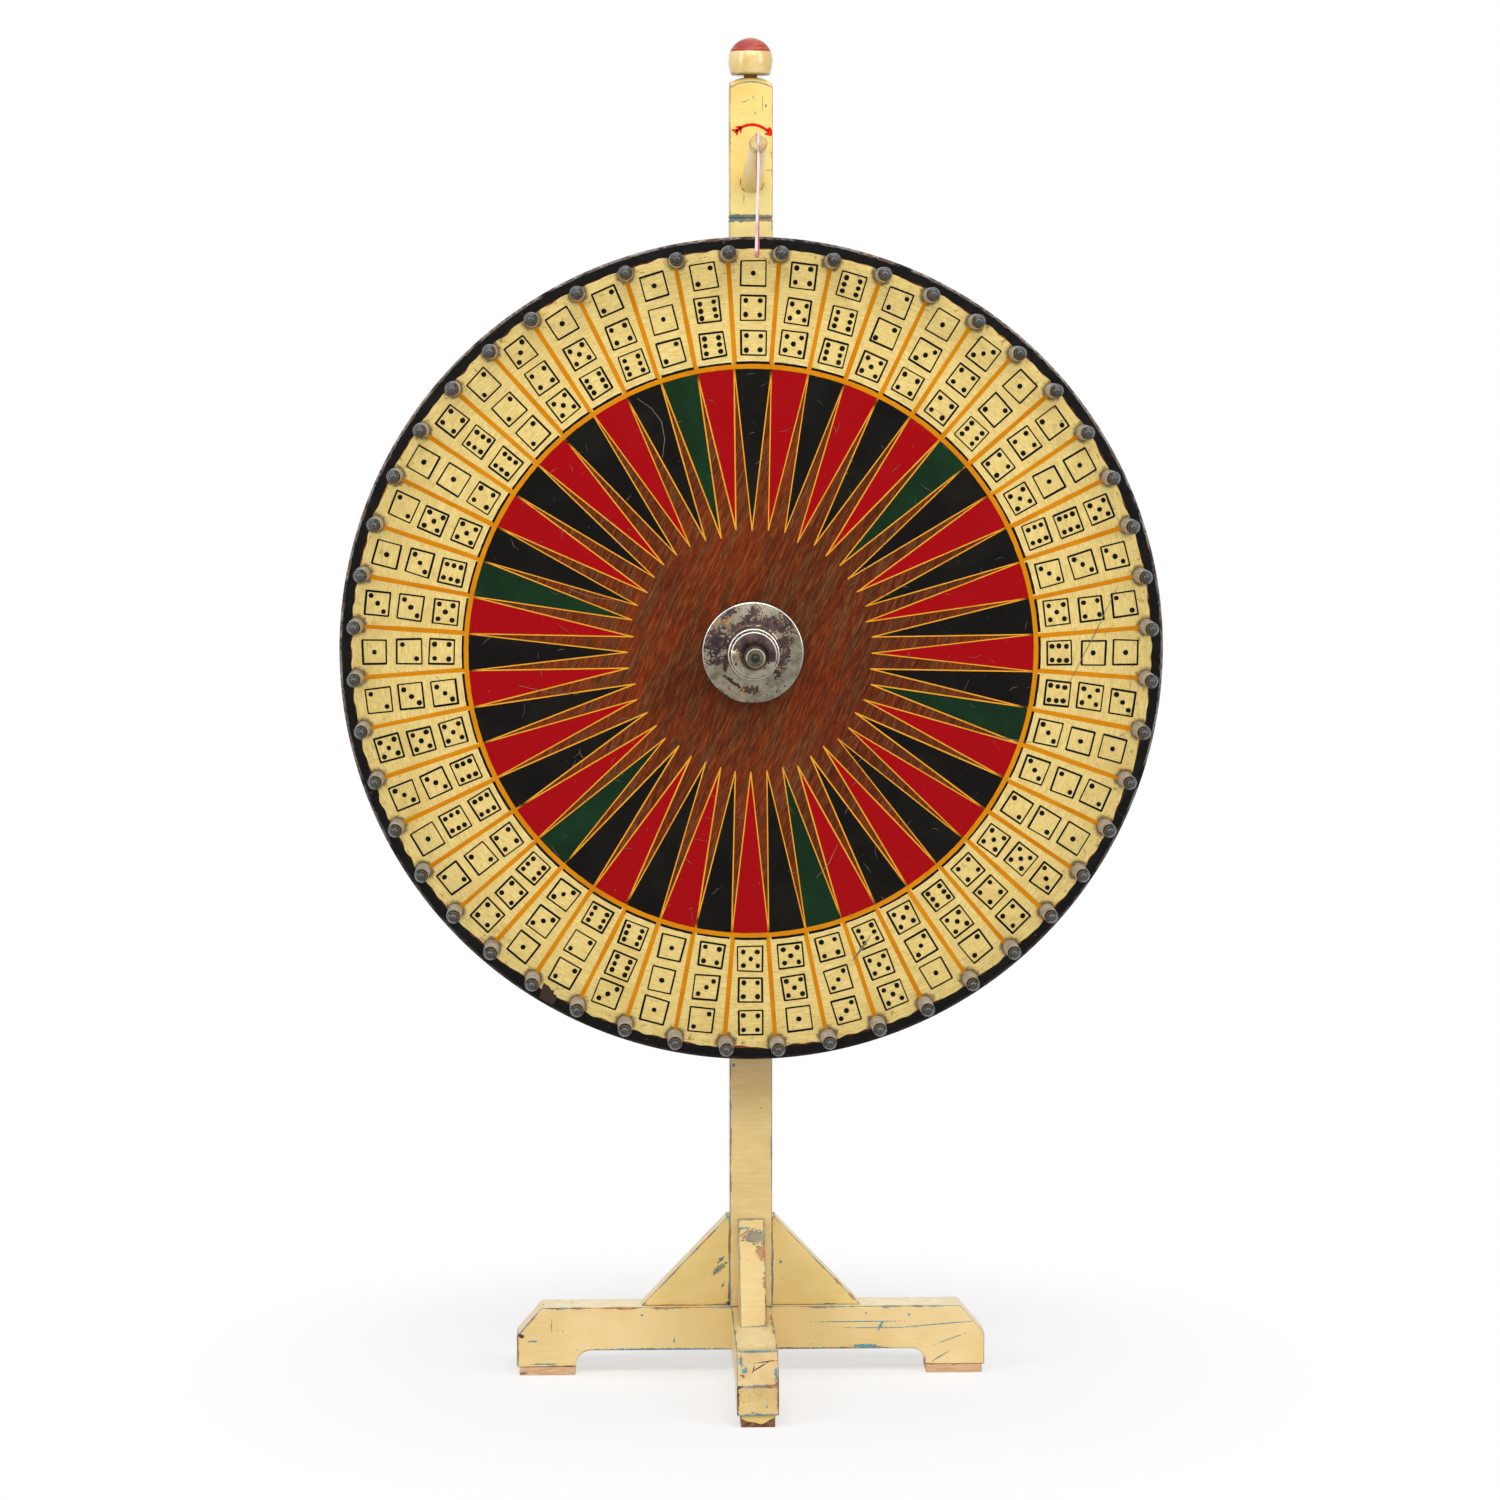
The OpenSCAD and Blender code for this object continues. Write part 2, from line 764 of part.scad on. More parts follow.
module hub_cover() {
    bore = barrel_r + fit;
    edge = 1.2;
    fillet = 2;
    root = cover_depth + cover_rise;
    total = root + boss_l;
    profile = concat(
        [[cover_r - cover_wall, 0], [cover_r, 0], [cover_r, cover_depth - edge], [cover_r - edge, cover_depth]],
        arc([boss_r + fillet, root + fillet], fillet, -90, -180, 5),
        [[boss_r, total - edge], [boss_r - edge, total], [bore, total], [bore, root - cover_wall],
            [cover_r - cover_wall, cover_depth - cover_wall]]
    );
    color(nickel) on_axle(wheel_face) rotate_extrude() polygon(profile);
}

post();
upper_post();
splice_dowels();
finial_ball();
finial_dowel();
cross_leg_side();
cross_leg_front();
gusset_left();
gusset_right();
gusset_front();
gusset_back();
gusset_nails();
foot_pad_left();
foot_pad_right();
foot_pad_front();
foot_pad_back();
pad_nails();
lag_screw();
lag_washer();
pointer_arm();
flapper();
flapper_brad();
axle();
axle_nut();
axle_washer_rear();
axle_washer_front();
lock_nut();
thrust_washer_rear();
thrust_washer_front();
hub_nose();
oiler();
wheel_disc();
pegs();
hub_barrel();
clamp_plate();
hub_bolts();
hub_nuts();
bush_rear();
bush_front();
hub_cover();
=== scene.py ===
import json
import random
from math import asin, atan2, cos, degrees, hypot, pi, radians, sin, sqrt

import bmesh
import bpy
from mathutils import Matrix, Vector


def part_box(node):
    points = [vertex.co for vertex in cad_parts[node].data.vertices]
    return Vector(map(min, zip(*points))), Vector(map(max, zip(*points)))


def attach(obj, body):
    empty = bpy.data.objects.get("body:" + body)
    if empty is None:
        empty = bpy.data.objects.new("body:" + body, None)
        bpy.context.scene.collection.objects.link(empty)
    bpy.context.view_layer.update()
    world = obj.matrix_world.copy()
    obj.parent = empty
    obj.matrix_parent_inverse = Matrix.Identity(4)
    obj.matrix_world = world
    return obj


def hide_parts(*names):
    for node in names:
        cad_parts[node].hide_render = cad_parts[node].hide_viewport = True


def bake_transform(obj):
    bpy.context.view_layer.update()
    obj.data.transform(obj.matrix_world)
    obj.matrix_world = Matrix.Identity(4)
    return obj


# Looks of a carnival game wheel, in metres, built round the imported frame
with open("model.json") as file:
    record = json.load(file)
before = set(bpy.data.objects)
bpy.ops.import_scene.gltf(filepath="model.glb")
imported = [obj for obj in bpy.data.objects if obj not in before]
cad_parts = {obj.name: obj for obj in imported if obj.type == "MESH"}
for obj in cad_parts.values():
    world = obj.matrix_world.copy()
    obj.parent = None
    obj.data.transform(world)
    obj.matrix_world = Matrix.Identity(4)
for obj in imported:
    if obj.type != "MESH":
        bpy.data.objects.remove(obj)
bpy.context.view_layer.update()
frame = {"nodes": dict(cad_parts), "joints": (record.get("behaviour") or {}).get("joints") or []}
MM = 0.001
SEED = 48
hand = random.Random(SEED)
draw = hand.uniform

# Places read from the frame
disc_low, disc_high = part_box("wheel_disc")
WHEEL_R = disc_high.x
WHEEL_Z = (disc_low.z + disc_high.z) / 2
FACE_Y = disc_low.y
BACK_Y = disc_high.y
POST_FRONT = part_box("post")[0].y
FLEX_AT = Vector(frame["joints"][1]["pos_m"])
FLEX_AXIS = Vector(frame["joints"][1]["axis"])

# The wheel's painted rings as radii, and sizes of the painting
SPIKE_TIP_R = 112 * MM
RING_IN_R = 261.4 * MM
RING_OUT_R = 265.7 * MM
RIM_BAND_R = 369.6 * MM
DICE_SIDE = 24.2 * MM
DICE_CORNER_R = 1.1 * MM
LINE_W = 1.65 * MM
PIP_R = 2.4 * MM
PIP_OUT = 6.55 * MM
DIVIDER_W = 4.1 * MM
SPIKE_LINE_W = 1.15 * MM
FILM = 0.12 * MM
PAINT_SHIFT = Vector((-0.8, -0.8)) * MM

# Radius of each row of dice, and how far the row sits off towards the top
DICE_ROWS = ((347.2 * MM, 1.9 * MM), (316.2 * MM, 0.8 * MM), (285.4 * MM, 0.3 * MM))

# Faces of the dice in each segment from rim to centre, clockwise from the top
DICE = (
    "144 455 666 225 134 344 126 244 115 566 333 245 116 356 113 223 "
    "122 355 444 256 135 556 334 155 445 234 111 366 226 133 446 224 "
    "166 336 555 233 124 335 136 255 114 466 222 345 156 246 112 266"
).split()
SEGMENTS = len(DICE)
PITCH = 360 / SEGMENTS
GREEN_EVERY = 8
FIRST_GREEN = 6
CORNERS = [(-1, -1), (-1, 1), (1, -1), (1, 1)]
PIPS = {
    1: [(0, 0)],
    2: [(1, 1), (-1, -1)],
    3: [(1, 1), (0, 0), (-1, -1)],
    4: CORNERS,
    5: CORNERS + [(0, 0)],
    6: CORNERS + [(-1, 0), (1, 0)],
}


def peg_circle():
    """Angle of the first peg clockwise from the top, and the pegs' circle, from the tips of the pegs."""
    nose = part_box("pegs")[0].y + 0.02 * MM
    tips = [v.co for v in frame["nodes"]["pegs"].data.vertices if v.co.y < nose]
    angles = [degrees(atan2(p.x, p.z - WHEEL_Z)) for p in tips]
    radius = sum(hypot(p.x, p.z - WHEEL_Z) for p in tips) / len(tips)
    return max(a for a in angles if a < 0), radius


FIRST_PEG, PEG_CIRCLE = peg_circle()
FIRST_SEGMENT = FIRST_PEG + PITCH / 2


# Shader nodes
def linear(value):
    """One channel of a colour as seen on a screen, 0 to 255, as the value that a shader takes."""
    share = value / 255
    return share / 12.92 if share <= 0.04045 else ((share + 0.055) / 1.055) ** 2.4


def tint(colour):
    """A shader's colour from a screen colour; a socket stays as it is."""
    return (*map(linear, colour), 1.0) if isinstance(colour, tuple) else colour


class Nodes:
    """Short calls that build one tree of nodes."""

    def __init__(self, tree):
        self.tree = tree

    def feed(self, socket, value):
        if isinstance(value, bpy.types.NodeSocket):
            self.tree.links.new(value, socket)
        else:
            socket.default_value = value

    def node(self, kind, inputs, **settings):
        made = self.tree.nodes.new("ShaderNode" + kind)
        for key, value in settings.items():
            setattr(made, key, value)
        for key, value in inputs.items():
            self.feed(made.inputs[key], value)
        return made

    def math(self, operation, a, b=0.0):
        return self.node("Math", {0: a, 1: b}, operation=operation).outputs[0]

    def chain(self, operation, values):
        result = values[0]
        for value in values[1:]:
            result = self.math(operation, result, value)
        return result

    def most(self, *values):
        return self.chain("MAXIMUM", values)

    def times(self, *values):
        return self.chain("MULTIPLY", values)

    def plus(self, *values):
        return self.chain("ADD", values)

    def minus(self, a, b):
        return self.math("SUBTRACT", a, b)

    def apart(self, a, b):
        return self.math("ABSOLUTE", self.minus(a, b))

    def length(self, a, b):
        return self.math("SQRT", self.plus(self.times(a, a), self.times(b, b)))

    def sway(self, noise, size):
        """A noise brought round zero."""
        return self.times(self.minus(noise, 0.5), size)


class Shader(Nodes):
    """The nodes of one material. Colours are sockets, or screen colours from 0 to 255."""

    def __init__(self, name, metal=0.0, shine=0.5):
        self.material = bpy.data.materials.new(name)
        self.material.use_nodes = True
        super().__init__(self.material.node_tree)
        self.bsdf = self.tree.nodes["Principled BSDF"]
        self.bsdf.inputs["Metallic"].default_value = metal
        self.bsdf.inputs["Specular IOR Level"].default_value = shine

    def coat(self, colour, rough, height=None, depth=0.0):
        """The finished material, from its colour, its roughness and a bump with a depth in mm."""
        self.feed(self.bsdf.inputs["Base Color"], colour)
        self.feed(self.bsdf.inputs["Roughness"], rough)
        if height is not None:
            bump = self.node("Bump", {"Height": height, "Distance": depth * MM})
            self.feed(self.bsdf.inputs["Normal"], bump.outputs[0])
        return self.material

    def mix(self, share, a, b):
        return self.node("Mix", {0: share, 6: tint(a), 7: tint(b)}, data_type="RGBA").outputs[2]

    def ramp(self, value, low, high, to_low=0.0, to_high=1.0):
        inputs = {"Value": value, "From Min": low, "From Max": high, "To Min": to_low, "To Max": to_high}
        return self.node("MapRange", inputs, interpolation_type="SMOOTHSTEP").outputs[0]

    def tones(self, value, low, high, a, b, share=1.0):
        """From one colour to another, or to a share of it, as a value goes from low to high."""
        return self.mix(self.ramp(value, low, high, 0.0, share), a, b)

    def coords(self):
        return self.node("TexCoord", {}).outputs["Object"]

    def noise(self, scale, detail=2.0, rough=0.5, stretch=(1, 1, 1), lean=0, at=None):
        """Noise in the piece's own coordinates, turned about Y by some degrees and then stretched."""
        if at is None:
            at = self.coords()
            if lean:
                at = self.node("Mapping", {"Vector": at, "Rotation": (0, radians(lean), 0)}).outputs[0]
            at = self.node("Mapping", {"Vector": at, "Scale": stretch}).outputs[0]
        inputs = {"Vector": at, "Scale": scale, "Detail": detail, "Roughness": rough}
        return self.node("TexNoise", inputs).outputs[0]

    def axes(self):
        return tuple(self.node("SeparateXYZ", {0: self.coords()}).outputs)

    def wheel_polar(self):
        """Distance from the axle and turn about it."""
        x, _, z = self.axes()
        up = self.minus(z, WHEEL_Z)
        return self.length(x, up), self.math("ARCTAN2", x, up)

    def reach(self, x, y, z, wide, deep, high, lean=0):
        """How far out a place is in an ellipsoid of half sizes in mm, leaning about Y: 1 on its surface."""
        inputs = {"Vector": self.coords(), "Location": Vector((x, y, z)) * MM,
                  "Rotation": (0, radians(lean), 0), "Scale": Vector((wide, deep, high)) * MM}
        local = self.node("Mapping", inputs, vector_type="TEXTURE").outputs[0]
        return self.node("VectorMath", {0: local}, operation="LENGTH").outputs["Value"]


# Colours
CREAM = (226, 196, 131)
CREAM_DEEP = (216, 183, 115)
CREAM_PALE = (242, 220, 168)
LEG_CREAM = (239, 211, 152)
LEG_CREAM_DEEP = (229, 197, 132)
# Painted light: a brighter cream for the post just below and above its joint
PAINTED_LIGHT_CREAM = (253, 230, 148)
UPPER_CREAM = (244, 213, 126)
OLIVE = (238, 210, 141)
OLIVE_DEEP = (222, 193, 116)
TEAL = (88, 152, 164)
TEAL_GREY = (102, 124, 112)
WORN_WOOD = (186, 136, 98)
DARK_WOOD = (142, 94, 62)
DARK = (48, 38, 34)
GOLD = (234, 211, 138)
GOLD_DULL = (207, 178, 100)
BLACK = (14, 13, 11)

# What shows in worn spots and in patches of painted light, from the first coat to the last: low and high of
# the patina, and two tones
COATS = {
    # pale: painted sheen on the tops of the legs
    "pale": (0.42, 0.6, (248, 230, 180), (240, 218, 162)),
    # Painted shade for the sloped end of the front leg
    "tan": (0.42, 0.6, (212, 182, 122), (204, 172, 110)),
    "teal": (0.48, 0.62, TEAL, TEAL_GREY),
    "wood": (0.4, 0.6, WORN_WOOD, DARK_WOOD),
    "grey": (0.42, 0.58, TEAL_GREY, (150, 138, 114)),
    "dark": (0.42, 0.6, DARK, DARK_WOOD),
    "dull": (0.42, 0.6, (198, 167, 96), (180, 148, 80)),
    "red": (0.42, 0.6, (196, 50, 34), (170, 70, 50)),
}
ROUGH_COATS = ("teal", "wood", "grey", "dark")


# Worn spots and painted light by kind: middle and half sizes in mm, each across, deep and up, and some with a
# lean in degrees
SIDE_LEG_MARKS = {
    "teal": (
        (101, -19, 50, 40, 4, 0.5), (121, -19, 44, 30, 4, 0.45), (178, -19, 47, 37, 4, 0.5, -4.5),
        (123, -19, 46, 5.5, 4, 1.3, -58), (180, -19, 16, 8.5, 4, 0.6, -31), (109, -19, 58, 1, 4, 1),
        (150, -19, 56.5, 1.2, 4, 1.2), (109, -19, 26, 12, 6, 2), (190, -19, 33, 15, 4, 0.4, -20),
        (72, -19, 24, 52, 4, 1.3), (-73, -19, 33.5, 0.7, 4, 3.5), (-207, -19, 33, 4.5, 4, 0.8),
        (-196, -19, 11, 14, 4, 0.7), (-85, -19, 24, 64, 4, 1.5),
    ),
    "dark": ((-218, -19, 38, 3, 4, 2),),
    "grey": ((-189, -19, 48, 0.4, 4, 6),),
    "wood": ((-178, -19, 42.5, 1, 4, 0.6),),
    # Painted sheen: pale patches along the tops of the side legs
    "pale": ((140, 0, 65.5, 70, 25, 1.2), (-140, 0, 65.5, 70, 25, 1.2)),
}
FRONT_LEG_MARKS = {
    "dark": (
        (2, -209, 53, 9, 9, 0.5, -26), (8, -205.5, 57, 10, 9, 0.4, -6), (-4, -211, 51, 0.4, 9, 3, 20),
        (-5, -222, 14, 1.6, 4, 0.5, -20), (-16.5, -222, 37.5, 4, 3, 1.6, -30), (-18.8, -222, 25, 1.6, 3, 14),
    ),
    "teal": (
        (-12, -211, 50, 3, 6, 2.2, -40), (-15, -206, 57, 1.5, 6, 4), (16.5, -214, 47, 1.6, 6, 7),
        (8, -222, 19.5, 0.7, 4, 0.9), (0, -198.5, 65, 19, 3, 1.3), (4, -222, 38, 17, 3, 1.5),
        (18.8, -222, 24, 1.8, 3, 15), (2, -222, 11.6, 19, 3, 1.5),
    ),
    "wood": ((-14, -214, 46, 2, 6, 1.2, 30),),
    # Painted sheen: a pale patch along the top of the front leg
    "pale": ((0, -150, 65.5, 25, 60, 1.2),),
    # Painted shade: a darker patch over the front leg's end and its slope
    "tan": ((0, -210, 52, 40, 24, 26),),
}
LEFT_GUSSET_MARKS = {
    "grey": (
        (-30, -12, 100.5, 7, 4, 2.6, -44), (-28.5, -12, 109, 3.4, 4, 1.5, -42),
        (-26.5, -12, 84.5, 3.2, 4, 1, -62),
    ),
    "dark": ((-21, -12, 67, 2.5, 4, 2),),
}
RIGHT_GUSSET_MARKS = {
    "teal": ((28.7, -12, 106.5, 1.5, 4, 1.2),),
    "wood": ((83, -12, 87, 5, 8, 1.6, 45), (96, -12, 73, 4, 8, 1.6, 45)),
}
FRONT_GUSSET_MARKS = {
    "wood": (
        (2, -35, 136, 11, 8, 7), (9, -47, 122, 4, 8, 8, -20), (11.5, -69, 100, 2.5, 8, 8),
        (12.5, -97, 72, 1.4, 6, 4),
    ),
    "grey": ((4, -35, 135, 9, 8, 7),),
    "teal": ((-6, -27, 142.5, 7, 4, 1.2),),
}
UPPER_POST_MARKS = {
    "grey": (
        (-5, -20, 1196.3, 4, 3, 0.35, -23), (2, -20, 1199.5, 0.35, 3, 2.2, -22),
        (10.4, -20, 1195.5, 0.35, 3, 6.5), (13.6, -20, 1192, 0.8, 3, 1.5), (3.7, -20, 1186, 0.4, 3, 1.6),
        (-6.7, -20, 1107, 0.4, 3, 4.6), (-20, -20, 1164, 1.1, 4, 14),
    ),
    "dark": (
        (17.2, -20, 1133.2, 3.2, 3, 0.3), (-9.9, -20, 1121.5, 0.45, 3, 4.5),
        (-7.4, -20, 1115.4, 3, 3, 0.45, 52), (10.6, -20, 1118, 0.4, 3, 3.5, 25),
    ),
}
ARM_MARKS = {
    "dull": ((3.3, -97.5, 1156, 15, 7, 15),),
    "red": ((7.4, -96, 1151.5, 0.55, 6, 2.4, 28), (5.9, -96, 1150, 0.5, 6, 2.0, -20)),
}
NO_MARKS = {}


def cream_paint(name, base=CREAM, deep=CREAM_DEEP, chip_w=1.2, marks=NO_MARKS, joint_z=None, edges="teal",
                dull=0.0, grain=(5, 40, 40)):
    """Old enamel on wood, worn along its edges and in spots to a teal undercoat and to the wood; painted
    light and shade in places.
    """
    s = Shader(name)
    x, y, z = s.axes()
    brush = s.noise(9, 4, 0.6, stretch=grain)
    ragged = s.noise(230, 4, 0.65)
    worn = {"teal": s.ramp(s.noise(150, 2, 0.4), 0.755, 0.775)}

    def wear_and_painted_light(kind, amount):
        worn[kind] = s.most(worn[kind], amount) if kind in worn else amount

    if joint_z:
        # Painted light: the cream turns brighter up towards the joint and stays bright just above it
        below = s.tones(z, joint_z - 150 * MM, joint_z - 40 * MM, base, PAINTED_LIGHT_CREAM)
        base = s.tones(z, joint_z + 15 * MM, joint_z + 65 * MM, below, UPPER_CREAM)
        from_joint = s.minus(s.apart(z, joint_z), s.times(ragged, 4.4 * MM))
        wear_and_painted_light("grey", s.ramp(from_joint, 1.2 * MM, 0.6 * MM))
    colour = s.tones(s.noise(13, 4, 0.55), 0.38, 0.68, base, deep)
    colour = s.tones(brush, 0.42, 0.75, colour, CREAM_PALE, 0.3)
    # Painted shade with an olive tint of grime: darker and more olive towards the post, by the share dull
    colour = s.tones(s.length(x, y), 150 * MM, 40 * MM, colour, OLIVE_DEEP, dull)
    crumbs = s.sway(s.noise(420, 4, 0.7), 3.4)
    # Marks are worn spots, except the pale ones, which are painted sheen, and the tan ones, which are painted
    # shade
    for kind, rows in marks.items():
        for row in rows:
            wear_and_painted_light(kind, s.ramp(s.plus(s.reach(*row), crumbs), 1.05, 0.9))
    if edges:
        share = s.ramp(s.noise(26, 3, 0.6), 0.44, 0.66, 0.1, 1.0)
        from_edge = s.node("Attribute", {}, attribute_name="edge").outputs["Fac"]
        past = s.minus(s.times(ragged, share, 2.8 * chip_w), from_edge)
        bared = s.ramp(s.noise(17, 2), 0.49, 0.62, 0.3, -0.5)
        wear_and_painted_light(edges, s.ramp(past, -0.5, -0.3))
        wear_and_painted_light("wood", s.ramp(s.minus(past, bared), 0.0, 0.2))
    patina = s.noise(75, 3, 0.6)
    for kind, (low, high, light, dark) in COATS.items():
        if kind in worn:
            colour = s.mix(worn[kind], colour, s.tones(patina, low, high, light, dark))
    bare = s.most(*(worn[kind] for kind in ROUGH_COATS if kind in worn))
    return s.coat(colour, s.ramp(bare, 0, 1, 0.28, 0.75), s.minus(s.times(brush, 0.2), bare), 0.2)


def enamel(name, colour, other, scar, rough=0.35, shine=0.06):
    """Sign paint with brush clouds and fine scars."""
    s = Shader(name, shine=shine)
    clouds = s.noise(26, 4, 0.6)
    paint = s.tones(clouds, 0.35, 0.75, colour, other)
    fine = s.noise(34, 3, 0.5, stretch=(1, 1, 30), lean=35)
    cross = s.noise(30, 3, 0.5, stretch=(1, 1, 36), lean=-50)
    dots = s.noise(420, 2, 0.5)
    marks = s.most(s.ramp(fine, 0.725, 0.76), s.ramp(cross, 0.735, 0.77), s.ramp(dots, 0.74, 0.78))
    worn = s.mix(s.times(marks, 0.55), paint, scar)
    return s.coat(worn, s.ramp(clouds, 0.2, 0.8, rough - 0.08, rough + 0.15), s.noise(300, 3), 0.05)


def peg_distance(s, radius, turn):
    """Distance to the nearest peg's middle, for a place on the wheel's face."""
    step = radians(PITCH)
    count = s.math("DIVIDE", s.minus(turn, radians(FIRST_PEG)), step)
    off = s.minus(s.math("FRACT", s.plus(count, 0.5)), 0.5)
    return s.length(s.times(off, step * PEG_CIRCLE), s.minus(radius, PEG_CIRCLE))


def gold_leaf():
    """Varnished leaf, burnished round the wheel, dull and stained towards the pegs."""
    s = Shader("gold_leaf", metal=0.2, shine=0.3)
    radius, turn = s.wheel_polar()
    swept = s.node("CombineXYZ", {0: s.times(radius, 700.0), 1: s.times(turn, 26.0)}).outputs[0]
    brush = s.noise(1.0, 4, 0.65, at=swept)
    grit = s.noise(150, 5, 0.7)
    colour = s.tones(brush, 0.25, 0.75, GOLD_DULL, GOLD)
    colour = s.tones(s.noise(30, 4, 0.6), 0.5, 0.75, colour, GOLD_DULL, 0.7)
    colour = s.tones(s.noise(340, 3, 0.6), 0.54, 0.72, colour, (184, 154, 84), 0.4)
    near_rim = s.ramp(radius, 335 * MM, 366 * MM, 0.15, 0.8)
    colour = s.mix(s.times(s.ramp(grit, 0.56, 0.68), near_rim), colour, (126, 98, 50))
    smudge = s.plus(peg_distance(s, radius, turn), s.sway(grit, 12 * MM))
    colour = s.tones(smudge, 11.5 * MM, 7.5 * MM, colour, (92, 68, 36), 0.85)
    scars = s.noise(30, 3, 0.5, stretch=(1, 1, 30), lean=-35)
    colour = s.tones(scars, 0.70, 0.74, colour, (104, 96, 78), 0.6)
    return s.coat(colour, s.ramp(brush, 0.2, 0.8, 0.32, 0.5), brush, 0.05)


def disc_wood():
    """Varnished mahogany with slanting grain; a black rim worn pale at its outer edge, the pale edge faded
    towards the bottom as painted shade.
    """
    s = Shader("disc_wood", shine=0.1)
    slant = -24
    clouds = s.noise(9, 3, 0.5, stretch=(2.2, 1, 0.8), lean=slant)
    streak = s.noise(26, 5, 0.6, stretch=(5, 1, 0.8), lean=slant)
    pores = s.noise(270, 3, 0.6, stretch=(3, 1, 0.3), lean=slant)
    fibre = s.noise(75, 4, 0.65, stretch=(5, 1, 0.5), lean=slant)
    colour = s.tones(clouds, 0.38, 0.62, (86, 33, 8), (110, 42, 9))
    colour = s.tones(streak, 0.47, 0.64, colour, (88, 54, 28), 0.8)
    colour = s.tones(streak, 0.45, 0.3, colour, (120, 42, 9), 0.55)
    colour = s.tones(fibre, 0.51, 0.65, colour, (66, 31, 13), 0.38)
    colour = s.tones(fibre, 0.46, 0.33, colour, (150, 86, 44), 0.28)
    colour = s.tones(pores, 0.52, 0.63, colour, (42, 18, 8), 0.6)
    colour = s.tones(pores, 0.46, 0.34, colour, (154, 90, 48), 0.32)
    radius, _ = s.wheel_polar()
    _, y, z = s.axes()
    ragged = s.noise(170, 4, 0.6)
    wobble = s.plus(radius, s.sway(ragged, 5 * MM))
    ground = s.tones(s.noise(60, 3), 0.4, 0.6, (120, 60, 30), (70, 36, 22))
    colour = s.tones(radius, RIM_BAND_R - 4 * MM, RIM_BAND_R - 3 * MM, colour, ground)
    black = s.ramp(wobble, RIM_BAND_R + 0.2 * MM, RIM_BAND_R + 0.6 * MM)
    paint = s.tones(s.noise(70, 4, 0.6), 0.4, 0.8, (10, 9, 8), (25, 23, 21))
    colour = s.mix(black, colour, paint)
    # The pale worn edge is wear; fading it out towards the bottom of the wheel is painted shade
    worn = s.times(
        s.ramp(wobble, WHEEL_R - 2.9 * MM, WHEEL_R - 1.9 * MM),
        s.ramp(s.noise(45, 4, 0.65), 0.34, 0.54),
        s.ramp(z, WHEEL_Z - WHEEL_R, WHEEL_Z, 0.1, 1.0),
        s.ramp(y, FACE_Y + 5 * MM, FACE_Y + 2 * MM, 0.1, 1.0),
    )
    colour = s.mix(worn, colour, s.tones(ragged, 0.4, 0.6, (150, 145, 141), (100, 80, 70)))
    chips = s.times(black, s.ramp(s.noise(110, 4, 0.6), 0.68, 0.72))
    colour = s.mix(chips, colour, (84, 58, 46))
    return s.coat(colour, s.ramp(pores, 0.3, 0.7, 0.32, 0.45), pores, 0.05)


# Patches on the hub: middle right of and above the axle, half width and height in mm, and some with a lean
COVER_BARED = (
    (-33, 10, 12, 12), (-22, 37, 9, 3, -32), (2, 38, 5, 4.5, -40), (-5, 32, 9, 3, -28), (-12, 23, 13, 6, -25),
    (19, 25, 19, 6.5, 14), (33, 30, 9, 6, 50), (29, 9, 7, 7.5), (28, -6, 13, 5, -68), (23, -18, 4, 3.5),
    (-2, -34, 7.5, 3.6, 10), (-34, -7, 8, 4.5), (-26, -9, 3.5, 8), (-18, -27, 10, 1.5, 37),
    (29, -31, 1.5, 1.2), (22, -35, 1.2, 1.5), (-29, -37, 13, 1.6, 38), (-2, -46.5, 14, 1.2),
)
COVER_RUST = ((-28, 27, 9, 4.5, -25), (-12, -36, 13, 5, 15), (-31, -25, 4, 4), (10, 18, 10, 6, 20))
NOSE_BARED = ((4, 10, 40, 13.5, 15), (-16.5, -8, 1.2, 1.8), (9, -19.5, 1.4, 1.2))
NOSE_RUST = ((0, 12, 7, 4),)
NOSE_TIP_R = 9.8 * MM

# Painted highlight rings on the hub: radius, and how bright at the bottom and at the top
COVER_HIGHLIGHT_RINGS = ((23.4 * MM, 0.55, 0.9), (46.3 * MM, 0.05, 0.7))
NOSE_HIGHLIGHT_RINGS = ((20.7 * MM, 0.1, 0.6), (8 * MM, 0.3, 0.9))


